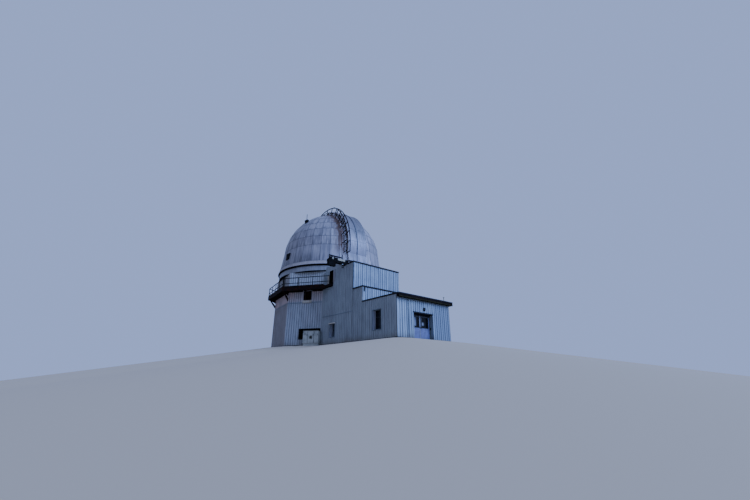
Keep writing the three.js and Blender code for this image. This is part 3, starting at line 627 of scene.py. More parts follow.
THIN, BROAD = (20 * MM, 12 * MM), (66 * MM, 30 * MM)  # widths of the painted shade lines beside the ribs, in turn
clad("left", LEFT, LEFT_OPENINGS, THIN, (
    ((ANNEX_LEFT, ANNEX_FRONT), (ANNEX_LEFT, LOW_BACK), 0, LOW_TOP),
    ((ANNEX_LEFT, LOW_BACK), (ANNEX_LEFT, MID_BACK), 0, MID_TOP),
    ((ANNEX_LEFT, MID_BACK), (ANNEX_LEFT, TOWER_MEETS_LEFT), 0, LEFT_SEAM),
    ((ANNEX_LEFT, MID_BACK), (ANNEX_LEFT, TOWER_MEETS_LEFT), LEFT_SEAM + 0.03, HIGH_TOP),
))
clad("front", FRONT, FRONT_OPENINGS, BROAD, (
    ((ANNEX_LEFT, ANNEX_FRONT), (LOW_RIGHT, ANNEX_FRONT), 0, EAVES),
    ((ANNEX_LEFT, LOW_BACK), (ANNEX_RIGHT, LOW_BACK), LOW_ROOF, MID_TOP),
    ((ANNEX_LEFT, MID_BACK), (ANNEX_RIGHT, MID_BACK), MID_ROOF, HIGH_TOP),
))
clad("right", RIGHT, [], THIN, (
    ((LOW_RIGHT, ANNEX_FRONT), (LOW_RIGHT, LOW_BACK), 0, EAVES),
    ((ANNEX_RIGHT, LOW_BACK), (ANNEX_RIGHT, MID_BACK), 0, MID_TOP),
    ((ANNEX_RIGHT, MID_BACK), (ANNEX_RIGHT, TOWER_MEETS_RIGHT), 0, HIGH_TOP),
))

# %% [markdown]
# Where sheets end, a folded flashing covers their cut edges: an angle up every corner, a low skirt along the
# ground, a lap across the tall left wall, and a seam up the front. They lie just over the ribs, so they are a
# few millimetres deeper.

# %% Flashings on the annex
OVER_RIBS = 32 * MM
SKIRT_HEIGHT = 130 * MM
SEAM_X = -2.85


def corner_angle(mesh, x, y, bottom, top, width=120 * MM):
    """A folded angle up an outer corner of the annex."""
    side = LEFT if x == ANNEX_LEFT else RIGHT
    for outward, other in ((side, FRONT), (FRONT, side)):
        middle = Vector((x, y, 0)) - other * (width - OVER_RIBS) / 2
        upright(mesh, middle.xy, bottom, top, outward, width + OVER_RIBS, OVER_RIBS)


corners = bmesh.new()
corner_angle(corners, ANNEX_LEFT, ANNEX_FRONT, 0, EAVES)
corner_angle(corners, LOW_RIGHT, ANNEX_FRONT, 0, EAVES)
corner_angle(corners, ANNEX_LEFT, LOW_BACK, LOW_ROOF, MID_TOP)
corner_angle(corners, ANNEX_RIGHT, LOW_BACK, LOW_ROOF, MID_TOP)
corner_angle(corners, ANNEX_RIGHT, MID_BACK, MID_ROOF, HIGH_TOP)
piece("annex_corner_angles", corners, ANNEX_SHEET)
high_corner = bmesh.new()
corner_angle(high_corner, ANNEX_LEFT, MID_BACK, MID_ROOF, HIGH_TOP, 110 * MM)
piece("high_corner_angle", high_corner, TRIM_SHEET)

skirting = bmesh.new()
for start, end, outward in (
    ((ANNEX_LEFT, ANNEX_FRONT), (ANNEX_LEFT, TOWER_MEETS_LEFT), LEFT),
    ((ANNEX_LEFT, ANNEX_FRONT), (DOORWAY[0], ANNEX_FRONT), FRONT),
    ((DOORWAY[1], ANNEX_FRONT), (LOW_RIGHT, ANNEX_FRONT), FRONT),
    ((LOW_RIGHT, ANNEX_FRONT), (LOW_RIGHT, LOW_BACK), RIGHT),
    ((ANNEX_RIGHT, LOW_BACK), (ANNEX_RIGHT, TOWER_MEETS_RIGHT), RIGHT),
):
    level(skirting, start, end, SKIRT_HEIGHT / 2, outward, SKIRT_HEIGHT, OVER_RIBS + 4 * MM)
piece("annex_foot_flashing", skirting, DARK_FLASHING)

laps, dark_laps, front_seam = bmesh.new(), bmesh.new(), bmesh.new()
upright(laps, (ANNEX_LEFT, MID_BACK), 0.1, MID_TOP, LEFT, 70 * MM, OVER_RIBS)
upright(laps, (ANNEX_LEFT, LOW_BACK), 0.1, LOW_TOP, LEFT, 60 * MM, OVER_RIBS)
upright(laps, (ANNEX_RIGHT, MID_BACK), 0.1, MID_TOP, RIGHT, 70 * MM, OVER_RIBS)
ends = (ANNEX_LEFT, MID_BACK), (ANNEX_LEFT, TOWER_MEETS_LEFT)
level(dark_laps, *ends, LEFT_SEAM, LEFT, 50 * MM, OVER_RIBS)
upright(front_seam, (SEAM_X, ANNEX_FRONT), 0.1, EAVES, FRONT, 32 * MM, OVER_RIBS)
piece("annex_dark_laps", dark_laps, TRIM_SHEET)
piece("front_wall_seam", front_seam, DARK_FLASHING)
piece("annex_sheet_laps", laps, ANNEX_SHEET)

# %% [markdown]
# The roofs end in tarred edges. The low roof has a real eaves: a deep fascia of boards in short lengths, with
# a felt drip along its top and a moss-stained strip along its bottom. The left wall stands flush with its roof,
# so there the edge is a thin coping. From above, the felt shows its laps, a metre apart.

# %% Roof edges and felt
EAVES_RIGHT, EAVES_FRONT = 3.08, -17.12
COPING = 60 * MM
HIGH_EDGE_END = -8.6  # where the service platform hides the high roof's left edge
BOARD_LENGTH = 1.22
FELT_WIDTH = 1.0


def along_eaves(mesh, z, width, depth):
    """A strip along the front and the right of the low roof's eaves."""
    level(mesh, (ANNEX_LEFT, EAVES_FRONT), (EAVES_RIGHT, EAVES_FRONT), z, FRONT, width, depth)
    level(mesh, (EAVES_RIGHT, EAVES_FRONT), (EAVES_RIGHT, LOW_BACK), z, RIGHT, width, depth)


roof_edge = bmesh.new()
along_eaves(roof_edge, LOW_ROOF - 30 * MM, 90 * MM, 18 * MM)
ends = (ANNEX_LEFT, EAVES_FRONT), (ANNEX_LEFT, LOW_BACK)
level(roof_edge, *ends, LOW_ROOF - 60 * MM, LEFT, 140 * MM, OVER_RIBS + 4 * MM)
for wall, left_back, right_back, roof in (
    (LOW_BACK, MID_BACK, MID_BACK, MID_ROOF),
    (MID_BACK, HIGH_EDGE_END, TOWER_MEETS_RIGHT, HIGH_ROOF),
):
    left, right, front, z = ANNEX_LEFT - COPING, ANNEX_RIGHT + COPING, wall - COPING, roof - 45 * MM
    level(roof_edge, (left, front), (right, front), z, FRONT, 110 * MM, 12 * MM)
    level(roof_edge, (left, front), (left, left_back), z, LEFT, 110 * MM, 12 * MM)
    level(roof_edge, (right, front), (right, right_back), z, RIGHT, 110 * MM, 12 * MM)
piece("roof_edges", roof_edge, DARK_FLASHING)

soffit = bmesh.new()
along_eaves(soffit, EAVES + 45 * MM, 110 * MM, 10 * MM)
under, edge = EAVES - 12 * MM, EAVES_RIGHT - 5 * MM
block(soffit, (ANNEX_LEFT, EAVES_FRONT + 5 * MM, under), (edge, ANNEX_FRONT, EAVES))
block(soffit, (LOW_RIGHT, ANNEX_FRONT, under), (edge, LOW_BACK, EAVES))
piece("low_roof_soffit", soffit, SOFFIT_BOARD)

boards = bmesh.new()
for x in spaced(ANNEX_LEFT + BOARD_LENGTH, EAVES_RIGHT, BOARD_LENGTH):
    upright(boards, (x, EAVES_FRONT), EAVES, LOW_ROOF, FRONT, 30 * MM, 14 * MM)
piece("low_roof_board_joints", boards, FELT)

felt = bmesh.new()
for left, right, front, back, z in (
    (ANNEX_LEFT, EAVES_RIGHT, EAVES_FRONT, LOW_BACK, LOW_ROOF),
    (ANNEX_LEFT - COPING, ANNEX_RIGHT + COPING, LOW_BACK - COPING, MID_BACK, MID_ROOF),
    (ANNEX_LEFT + 0.2, ANNEX_RIGHT + COPING, MID_BACK - COPING, -6.6, HIGH_ROOF),
):
    for y in spaced(front + FELT_WIDTH, back - 0.1, FELT_WIDTH):
        level(felt, (left, y), (right, y), z, UP, 90 * MM, 5 * MM)
piece("roof_felt_laps", felt, FELT)

# %% [markdown]
# Small things break up the plain walls: a rain outlet under the middle roof's corner, a vent pipe with a cap
# at the front of the low roof, and a hooked strut on the left wall under the service platform.

# %% Outlet, vent pipe and strut
STRUT_X = ANNEX_LEFT - OVER_RIBS - 0.03
STRUT_FOOT = (STRUT_X, -8.81, 7.82)
outlet = bmesh.new()
block(outlet, (-4.10, LOW_BACK - 0.11, 4.76), (-4.01, LOW_BACK - OVER_RIBS, 5.16), 6 * MM)
rod(outlet, (-4.055, LOW_BACK - 0.07, 4.70), (-4.055, LOW_BACK - 0.07, 4.78), 32 * MM)
rod(outlet, STRUT_FOOT, (STRUT_X, -9.16, 8.03), 26 * MM, 8)
rod(outlet, STRUT_FOOT, (STRUT_X, -8.66, 7.93), 26 * MM, 8)
block(outlet, (STRUT_X + 0.01, -9.22, 7.96), (ANNEX_LEFT, -9.10, 8.08), 4 * MM)
piece("rain_outlet_and_strut", outlet, DARK_STEEL)

VENT = Vector((2.0, -16.95, LOW_ROOF - 5 * MM))
vent = bmesh.new()
for low, high, radius, tip in ((0, 0.36, 45, 45), (0, 0.05, 110, 60), (0.38, 0.45, 95, 20)):
    rod(vent, VENT + UP * low, VENT + UP * high, radius * MM, 16, tip * MM)
for turn in range(3):
    off = radial(turn * 120) * 38 * MM
    rod(vent, VENT + off + UP * 0.3, VENT + off + UP * 0.4, 5 * MM, 6)
piece("roof_vent_pipe", vent, PALE_FLASHING)

# %% [markdown]
# The tower's eight sides carry the same ribs in three lifts: below the seam, from the seam to the balcony, and
# from the balcony to the ring. Each side is a straight wall between two corners of the octagon.

# %% Ribs on the tower
TOWER_APOTHEM = 6.33
FIRST_SIDE = 215.7
SIDES = 8  # the last one lies inside the annex
TOWER_SEAM = 4.75
LIFTS = ((0, TOWER_SEAM - 0.02), (TOWER_SEAM + 0.02, DECK_UNDER), (DECK_TOP, RING_UNDER))
WINDOW = (-0.7, 0.23, 4.94, 6.06)  # left, right, bottom and top, as for every opening, ledge and box
WINDOW_SIDES = (0, 3, 5)
WINDOW_CLEAR = (-0.84, 0.37, 4.68, 6.16)  # what ribs leave free round a window and its sill
INTAKE = (-0.95, 1.5, 0.78, 1.84)
CORNER_IN = 0.1  # ribs keep this far off a corner, where the flashing is
HALF_SIDE = TOWER_APOTHEM * math.tan(math.pi / SIDES)
WALL_REACH = (HALF_SIDE, 1.56, -0.4)  # half a side, and where the annex cuts the front and the front right side


def side_frame(index):
    """The outward direction and the direction along one side of the tower."""
    outward = radial(FIRST_SIDE - 45 * index)
    return outward, crosswise(outward)


def on_side(index, s, z, out=0.0):
    """A point on one side's face, or a little out of it."""
    outward, along = side_frame(index)
    return outward * (TOWER_APOTHEM + out) + along * s + UP * z


def reach(index, half, front_end, right_start):
    """Where a side starts and ends along itself, short of the annex."""
    return right_start if index == 6 else -half, front_end if index == 0 else half


def side_level(mesh, side, a, b, z, width, depth, out=0.0, facing=None, **more):
    """A level strip along a side of the tower, facing outwards if nothing else is said."""
    facing = facing or side_frame(side)[0]
    strip(mesh, on_side(side, a, z, out), on_side(side, b, z, out), facing, width, depth, **more)


def side_upright(mesh, side, s, low, high, width, depth, out=0.0, **more):
    """An upright strip on a side of the tower."""
    facing = side_frame(side)[0]
    strip(mesh, on_side(side, s, low, out), on_side(side, s, high, out), facing, width, depth, **more)


tower_ribs, tower_rib_shade_lines = bmesh.new(), bmesh.new()
SIDE_OPENINGS = {0: [WINDOW_CLEAR, INTAKE], 3: [WINDOW_CLEAR], 5: [WINDOW_CLEAR]}
for side in range(SIDES - 1):
    start, end = reach(side, *WALL_REACH)
    start, end = max(start, CORNER_IN - HALF_SIDE), min(end, HALF_SIDE - CORNER_IN)
    cuts = from_start(SIDE_OPENINGS.get(side, []), start)
    ends = on_side(side, start, 0), on_side(side, end, 0)
    for low, high in LIFTS:
        rib_wall(tower_ribs, tower_rib_shade_lines, *ends, side_frame(side)[0], low, high, cuts, (42 * MM, 42 * MM))
piece("tower_ribs", tower_ribs, TOWER_SHEET)
# The dark strips beside the tower's ribs are painted shade on the ribs' shaded flanks.
piece("tower_rib_shade_lines", tower_rib_shade_lines, RIB_SHADE_SHEET)

# %% [markdown]
# The tower has the same flashings as the annex: an angle at each corner, a lap where the two lifts of sheet
# meet, and a skirt at the ground. Under the ring that carries the dome, a board painted near black closes the
# overhang as painted shade, and a near-black band in the gap above the ring is painted shade too.

# %% Flashings on the tower
tower_trim, tower_seam, tower_foot = bmesh.new(), bmesh.new(), bmesh.new()
for side in range(SIDES - 1):
    start, end = reach(side, *WALL_REACH)
    for s, toward in ((start, 1), (end, -1)):
        if abs(s) > HALF_SIDE - CORNER_IN:
            for low, high in ((0, DECK_UNDER), (DECK_TOP, RING_UNDER)):
                side_upright(tower_trim, side, s + toward * 50 * MM, low, high, 120 * MM, OVER_RIBS)
    side_level(tower_seam, side, start, end, TOWER_SEAM, 55 * MM, OVER_RIBS)
    side_level(tower_foot, side, start, end, SKIRT_HEIGHT / 2, SKIRT_HEIGHT, OVER_RIBS + 4 * MM)
piece("tower_flashings", tower_trim, TOWER_SHEET)
piece("tower_seam_laps", tower_seam, TRIM_SHEET)
piece("tower_foot_flashing", tower_foot, DARK_FLASHING)

ring_under = bmesh.new()
# The board under the ring and the band in the gap above it are near black: painted shade.
turned(ring_under, [(6.2, 8.32), (6.70, 8.32), (6.70, 8.40), (6.68, 8.40), (6.68, 8.352), (6.2, 8.352)])
turned(ring_under, [(6.562, 8.945), (6.60, 8.945), (6.60, 9.07), (6.562, 9.07)])
piece("ring_soffit_and_gap_shade", ring_under, PAINTED_SHADE_SHEET)

# %% [markdown]
# The tower's windows are louvres. Each has a folded frame round it and a pale sill that throws the rain off,
# bent from one sheet over the masonry ledge. The air intake low down has the same frame.

# %% Window and intake trims
LEDGE = (-0.76, 0.29, 4.75, 5.0)
LEDGE_OUT = 0.1
ROUND = 3 * MM  # the rounding of a folded edge
sills, window_frames, intake_frame = bmesh.new(), bmesh.new(), bmesh.new()
for side in WINDOW_SIDES:
    a, b, low, high = LEDGE
    a, b = a - 12 * MM, b + 12 * MM
    side_level(sills, side, a, b, (low + high) / 2, 0.26, LEDGE_OUT + 8 * MM, sunk=0.0, rounding=ROUND)
    side_level(sills, side, a, b, low - 10 * MM, 24 * MM, LEDGE_OUT + 22 * MM, sunk=0.0, rounding=ROUND)
    left, right, _, top = WINDOW
    for s in (left - 20 * MM, right + 20 * MM):
        side_upright(window_frames, side, s, high, top + 55 * MM, 40 * MM, 42 * MM, rounding=ROUND)
    a, b = left - 40 * MM, right + 40 * MM
    side_level(window_frames, side, a, b, top + 22 * MM, 40 * MM, 48 * MM, rounding=ROUND)
piece("window_sills", sills, PALE_FLASHING)
piece("window_frames", window_frames, TRIM_SHEET)

left, right, bottom, top = INTAKE
for z in (bottom - 15 * MM, top + 15 * MM):
    side_level(intake_frame, 0, left - 30 * MM, right + 30 * MM, z, 50 * MM, 46 * MM, rounding=ROUND)
for s in (left - 15 * MM, right + 15 * MM):
    side_upright(intake_frame, 0, s, bottom, top, 50 * MM, 46 * MM, rounding=ROUND)
piece("intake_frame", intake_frame, INTAKE_STEEL)

# %% [markdown]
# The equipment cabinet is a powder-coated steel box on a plinth. Three doors cover its front, a lid keeps the
# rain off, and a fan draws air through a round hole behind a wire guard.

# %% Equipment cabinet
CABINET = (-0.2, 1.57, 0.28, 1.56)
CABINET_BACK, CABINET_FACE = 0.04, 0.5603  # out from the wall
FAN = (0.72, 0.89)  # along and height
FAN_RADIUS, FAN_HOLE = 0.17, 0.19
HANDLE = (1.06, 1.22)  # the handles' bottom and top
doors, fittings = bmesh.new(), bmesh.new()
left, right, bottom, top = CABINET
edges = [left + 20 * MM, 0.335, 1.07, right - 20 * MM]
for number, (a, b) in enumerate(zip(edges, edges[1:])):
    a, b = a + 20 * MM, b - 20 * MM
    low, high, rounding = bottom + 40 * MM, top - 50 * MM, ROUND
    spans = [(low, high)]
    if number == 1:
        spans, rounding = [(low, FAN[1] - FAN_HOLE), (FAN[1] + FAN_HOLE, high)], 0.0
        for s0, s1 in ((a, FAN[0] - FAN_HOLE), (FAN[0] + FAN_HOLE, b)):
            beside = spans[0][1], spans[1][0]
            side_upright(doors, 0, (s0 + s1) / 2, *beside, s1 - s0, 12 * MM, CABINET_FACE)
    for z0, z1 in spans:
        side_upright(doors, 0, (a + b) / 2, z0, z1, b - a, 12 * MM, CABINET_FACE, rounding=rounding)
    side_upright(fittings, 0, b - 60 * MM, *HANDLE, 26 * MM, 34 * MM, CABINET_FACE, rounding=5 * MM)
    for z in (bottom + 0.14, top - 0.2):
        hinge = z, z + 80 * MM
        side_upright(fittings, 0, a + 4 * MM, *hinge, 20 * MM, 18 * MM, CABINET_FACE, rounding=4 * MM)
for i in range(6):
    z = 1.16 + i * 45 * MM
    side_level(fittings, 0, edges[0] + 0.08, edges[1] - 0.14, z, 12 * MM, 16 * MM, CABINET_FACE)
lid = left - 25 * MM, right + 25 * MM, top, CABINET_FACE - CABINET_BACK + 60 * MM, 22 * MM
side_level(doors, 0, *lid, (CABINET_FACE + CABINET_BACK) / 2, UP, rounding=5 * MM)
piece("cabinet_doors", doors, CABINET_PAINT)
for s in edges[1:3]:
    side_upright(fittings, 0, s, bottom + 30 * MM, top - 40 * MM, 36 * MM, 4 * MM, CABINET_FACE)

outward, along = side_frame(0)
hub = on_side(0, *FAN, CABINET_FACE)


def spoke(degrees):
    """A direction in the fan's plane."""
    return along * math.cos(math.radians(degrees)) + UP * math.sin(math.radians(degrees))


for radius in (0.05, 0.09, 0.13, FAN_RADIUS):
    for i in range(24):
        ends = [hub + spoke(step * 15) * radius for step in (i, i + 1)]
        strip(fittings, *ends, outward, 6 * MM, 14 * MM, 0.0)
for i in range(4):
    arm = spoke(i * 45) * FAN_RADIUS
    strip(fittings, hub - arm, hub + arm, outward, 8 * MM, 10 * MM, 0.0)
rod(fittings, hub - outward * 15 * MM, hub + outward * 4 * MM, 45 * MM, 16)
root = hub - outward * 12 * MM
for i in range(5):
    arm, twist = spoke(i * 72), outward * 0.5 + spoke(i * 72 + 90)
    strip(fittings, root + arm * 0.04, root + arm * 0.155, twist, 18 * MM, 3 * MM)
piece("cabinet_fittings", fittings, DARK_STEEL)

# %% [markdown]
# The balcony is a boxed steel deck. Angles edge it above and below, stiffeners cross the web between them, and
# shallow joists run under it to the wall. Every railing post stands on a bolted foot plate, and a gusset
# strengthens each knee brace.

# %% Balcony steelwork
DECK_APOTHEM = 7.27
RAIL_LINE = DECK_APOTHEM - 0.04 - 0.0275
DECK_REACH = (DECK_APOTHEM * math.tan(math.pi / SIDES), 2.04, -0.68)
STIFFENER_STEP = 0.86
CHANNEL, LEDGER, TOE_BOARD = 150 * MM, 160 * MM, 140 * MM  # heights
GUSSET = ((6.87, DECK_UNDER), (7.74, DECK_UNDER), (6.87, DECK_UNDER - 0.58))  # radius and height
deck_edges, joists, feet, toe_boards = bmesh.new(), bmesh.new(), bmesh.new(), bmesh.new()
out = DECK_APOTHEM - TOWER_APOTHEM
for side in range(SIDES - 1):
    start, end = reach(side, *DECK_REACH)
    for z in (DECK_UNDER + 25 * MM, DECK_TOP - 22 * MM):
        side_level(deck_edges, side, start, end, z, 52 * MM, 14 * MM, out)
    side_level(deck_edges, side, start, end, DECK_UNDER - CHANNEL / 2, CHANNEL, 45 * MM, out - 50 * MM)
    z = DECK_TOP + TOE_BOARD / 2
    side_level(toe_boards, side, start, end, z, TOE_BOARD, 10 * MM, out - 16 * MM, sunk=0.0)
    wall_start, wall_end = reach(side, *WALL_REACH)
    stretches = [(wall_start, wall_end)]
    if side in WINDOW_SIDES:
        stretches = [(wall_start, WINDOW_CLEAR[0]), (WINDOW_CLEAR[1], wall_end)]
    for a, b in stretches:
        side_level(joists, side, a, b, DECK_UNDER - LEDGER / 2, LEDGER, 75 * MM)
    count = round((end - start) / STIFFENER_STEP)
    for i in range(1, count):
        s = start + (end - start) * i / count
        side_upright(deck_edges, side, s, DECK_UNDER + 40 * MM, DECK_TOP - 40 * MM, 40 * MM, 9 * MM, out)
        if wall_start + 0.1 < s < wall_end - 0.1:
            ends = on_side(side, s, DECK_UNDER, OVER_RIBS), on_side(side, s, DECK_UNDER, out - 20 * MM)
            strip(joists, *ends, -UP, 60 * MM, 110 * MM)
for corner in range(SIDES - 2):
    direction = radial(FIRST_SIDE - 45 * (corner + 0.5))
    across = crosswise(direction)
    plate(joists, [direction * r + UP * z - across * 7 * MM for r, z in GUSSET], across * 14 * MM)
piece("balcony_edge_angles", deck_edges, BALCONY_STEEL)
piece("balcony_toe_boards", toe_boards, BALCONY_STEEL)
piece("balcony_joists", joists, BALCONY_STEEL)

half = RAIL_LINE * math.tan(math.pi / SIDES)
bay = half / 2
whole = [-half, -bay, 0, bay, half]
short = whole[:-1] + [half - 0.095]
posts = ([-half + 0.095, -2.75, -1.08, 0.66, 2.04], whole, whole, short, whole, short, [-0.65, 0, bay, half])
rail_out = RAIL_LINE - TOWER_APOTHEM
RAIL_TOP = 7.5
for side, places in enumerate(posts):
    for s in places:
        side_level(feet, side, s - 65 * MM, s + 65 * MM, DECK_TOP, 110 * MM, 12 * MM, rail_out, UP)
        for a in (-48 * MM, 48 * MM):
            bolt = on_side(side, s + a, DECK_TOP, rail_out)
            rod(feet, bolt, bolt + UP * 24 * MM, 9 * MM, 6)
    cap = places[0], places[-1], RAIL_TOP, 95 * MM, 14 * MM, rail_out, UP
    side_level(feet, side, *cap, sunk=30 * MM, rounding=4 * MM)
piece("balcony_post_feet_and_caps", feet, RAIL_STEEL)

# %% [markdown]
# The steel ring under the dome wears a painted fascia, with a cover strip over each joint and a rolled edge
# along its top. The dome's skirt hangs outside it and turns with the dome: it has a strip at each gore, a lip
# below whose near-black underside is painted shade, and a flashing where it meets the dome's panels.

# %% Ring and skirt
RING_RADIUS = 6.69
SKIRT_LOW, SKIRT_HIGH = (6.85, 9.12), (6.71, 9.59)  # radius and height of a strip's ends
ring_trim, skirt_strips, skirt_lip_shade, skirt_edges = bmesh.new(), bmesh.new(), bmesh.new(), bmesh.new()
for i in range(36):
    outward = radial(i * 10)
    upright(ring_trim, (outward * RING_RADIUS).xy, 8.36, 8.925, outward, 55 * MM, 7 * MM)
    outward = radial(DOME_TURN + i * GORE)
    ends = [outward * radius + UP * z for radius, z in (SKIRT_LOW, SKIRT_HIGH)]
    strip(skirt_strips, *ends, outward, 50 * MM, 7 * MM)
turned(ring_trim, [(6.60, 8.93), (6.705, 8.93), (6.705, 8.90), (6.712, 8.90), (6.712, 8.942), (6.60, 8.942)])
piece("ring_cover_strips", ring_trim, RING_SHEET)
piece("skirt_cover_strips", skirt_strips, SKIRT_SHEET, "dome")
# The skirt's underside and lip are near black: painted shade under the skirt.
turned(skirt_lip_shade, [(6.60, 9.096), (6.865, 9.096), (6.865, 9.15), (6.835, 9.15), (6.835, 9.106), (6.60, 9.106)])
piece("skirt_lip_shade", skirt_lip_shade, PAINTED_SHADE_SHEET, "dome")
turned(skirt_edges, [(6.66, 9.59), (6.722, 9.582), (6.722, 9.6), (6.685, 9.625), (6.66, 9.625)])
piece("skirt_edges", skirt_edges, JOINT_SHEET, "dome")

# %% [markdown]
# The dome's panels lap upwards like slates. A cover strip runs up each gore from joint to joint, and the laps
# run level round the dome. Each strip is straight, because the panels are flat between joints, and it stops
# beside the slit, where the shutter's rails take over. Rivets hold the laps down.

# %% Laps on the dome
LAP_ROWS = [FIRST_ROW + ROW_STEP * i for i in range(8)] + [84.0]
FOOT_RADIUS, FOOT_HEIGHT = 6.68, 9.6
SLIT_CLEAR = 1.285  # half the width that laps leave free for the slit and its rails
RAIL_CLEAR = SLIT_CLEAR - 0.14
SLIT_SILL, SLIT_BACK = 10.6, -0.8
RIVET_STEP = 160 * MM
dome_middle = UP * DOME_CENTRE
dome_out = radial(DOME_TURN)
dome_side = crosswise(dome_out)


def dome_corner(gore, row):
    """A corner between four panels; row 0 is the dome's foot."""
    radius, z = FOOT_RADIUS, FOOT_HEIGHT
    if row:
        rise = math.radians(LAP_ROWS[row - 1])
        radius, z = DOME_RADIUS * math.cos(rise), DOME_CENTRE + DOME_RADIUS * math.sin(rise)
    return radial(DOME_TURN + gore * GORE) * radius + UP * z


def beside_slit(point):
    """Whether a point lies clear of the slit and of the shutter's rails."""
    across, ahead = abs(point.dot(dome_side)), point.dot(dome_out)
    return not (across < SLIT_CLEAR and point.z > SLIT_SILL and (across > RAIL_CLEAR or ahead > SLIT_BACK))


def clear_part(start, end, steps=24):
    """The stretch of a straight lap that lies clear of the slit, or None."""
    clear = [i for i in range(steps + 1) if beside_slit(start.lerp(end, i / steps))]
    if len(clear) > 1:
        return start.lerp(end, clear[0] / steps), start.lerp(end, clear[-1] / steps)


upright_laps, level_laps, rivets = bmesh.new(), bmesh.new(), bmesh.new()
for gore in range(36):
    for row in range(len(LAP_ROWS)):
        part = clear_part(dome_corner(gore, row), dome_corner(gore, row + 1))
        if part:
            out = (part[0] + part[1]) / 2 - UP * (DOME_CENTRE - 1.5)
            strip(upright_laps, *part, out, 42 * MM if row < 6 else 30 * MM, 7 * MM)
    for row in range(1, len(LAP_ROWS) + 1):
        part = clear_part(dome_corner(gore, row), dome_corner(gore + 1, row))
        if not part:
            continue
        out = ((part[0] + part[1]) / 2 - dome_middle).normalized()
        strip(level_laps, *part, out, 36 * MM, 9 * MM)
        count = int((part[1] - part[0]).length / RIVET_STEP)
        for i in range(count):
            at = part[0].lerp(part[1], (i + 0.5) / count) - UP * 45 * MM
            rod(rivets, at - out * 2 * MM, at + out * 11 * MM, 11 * MM, 5, 6 * MM)
piece("dome_upright_laps", upright_laps, JOINT_SHEET, "dome")
piece("dome_level_laps", level_laps, JOINT_SHEET, "dome")
piece("dome_rivets", rivets, JOINT_SHEET, "dome")

# %% [markdown]
# The shutter is one long curved sheet that slides back over the dome. Angles stiffen its two edges, straps
# cross it, a cap covers the raised seam along it, and a sloping apron closes its foot. The cap is near black,
# as painted shade beside the raised seam. All of it rides with the shutter, so it stays clear of the rails by
# the same few millimetres.

# %% Shutter trims
SHUTTER_RADIUS = 6.632
SHUTTER_FROM, SHUTTER_TO = -8.5, 100.0
SHUTTER_HALF = 1.27
SHUTTER_FACETS = 28
STRAP_STEP = 4  # facets from strap to strap
SEAM_LEFT, SEAM_MIDDLE, SEAM_RIGHT = -0.09, -0.06, -0.03
SEAM_HEIGHT = 60 * MM
APRON = ((6.575, 10.68), (6.82, 9.75))  # ahead and height of the apron's top and foot
CHEEK = ((6.45, 10.66), *APRON, (6.62, 9.75))


def on_shutter(degrees, across, radius=SHUTTER_RADIUS):
    rise = math.radians(degrees)
    return dome_middle + dome_out * radius * math.cos(rise) + dome_side * across + UP * radius * math.sin(rise)


edge_angles, straps, seam_cap, apron = bmesh.new(), bmesh.new(), bmesh.new(), bmesh.new()
facet = (SHUTTER_TO - SHUTTER_FROM) / SHUTTER_FACETS
for i in range(SHUTTER_FACETS):
    low, high = SHUTTER_FROM + i * facet, SHUTTER_FROM + (i + 1) * facet
    out = on_shutter((low + high) / 2, 0) - dome_middle
    for mesh, across, rise, facing, width, depth in (
        (edge_angles, -SHUTTER_HALF + 22 * MM, 0, out, 44 * MM, 16 * MM),
        (edge_angles, SHUTTER_HALF - 22 * MM, 0, out, 44 * MM, 16 * MM),
        (seam_cap, SEAM_MIDDLE, SEAM_HEIGHT, out, 66 * MM, 4 * MM),
        (seam_cap, SEAM_LEFT, SEAM_HEIGHT / 2, -dome_side, 52 * MM, 4 * MM),
    ):
        ends = [on_shutter(degrees, across, SHUTTER_RADIUS + rise) for degrees in (low, high)]
        strip(mesh, *ends, facing, width, depth)
    if i % STRAP_STEP == 0 and i:
        for start, end in ((-SHUTTER_HALF, SEAM_LEFT), (SEAM_RIGHT, SHUTTER_HALF)):
            strip(straps, on_shutter(low, start), on_shutter(low, end), out, 46 * MM, 8 * MM)
piece("shutter_edge_angles", edge_angles, SHUTTER_SHEET, "shutter")
piece("shutter_straps", straps, JOINT_SHEET, "shutter")
# The seam cap is near black: painted shade along the raised seam.
piece("shutter_seam_cap", seam_cap, RIB_SHADE_SHEET, "shutter")

ends = [dome_out * ahead + UP * z for ahead, z in APRON]
out = (ends[1] - ends[0]).cross(dome_side)
out = out if out.dot(dome_out) > 0 else -out
strip(apron, *ends, out, 2 * SHUTTER_HALF, 14 * MM, 0.0)
strip(apron, *[end - dome_side * 0.03 for end in ends], out, 60 * MM, 60 * MM)
for across in (-SHUTTER_HALF, SHUTTER_HALF - 12 * MM):
    plate(apron, [dome_out * ahead + dome_side * across + UP * z for ahead, z in CHEEK], dome_side * 12 * MM)
piece("shutter_apron", apron, SHUTTER_SHEET, "shutter")

# %% [markdown]
# The hatch in the dome's left side is a plain steel box lid. It gets a rim, two hinges and a bar handle. The
# little instrument mast has two collars, a finial and a clamped box.

# %% Hatch and mast fittings
HATCH_AT, HATCH_FACE = -83.0, 6.57
HATCH = (-0.38, 0.38, 10.4, 11.2)
GRIP = (0.24, 10.7, 10.9)  # across, bottom and top
hatch_out = radial(DOME_TURN + HATCH_AT)
hatch_side = crosswise(hatch_out)


def on_hatch(across, z, out=0.0):
    return hatch_out * (HATCH_FACE + out) + hatch_side * across + UP * z


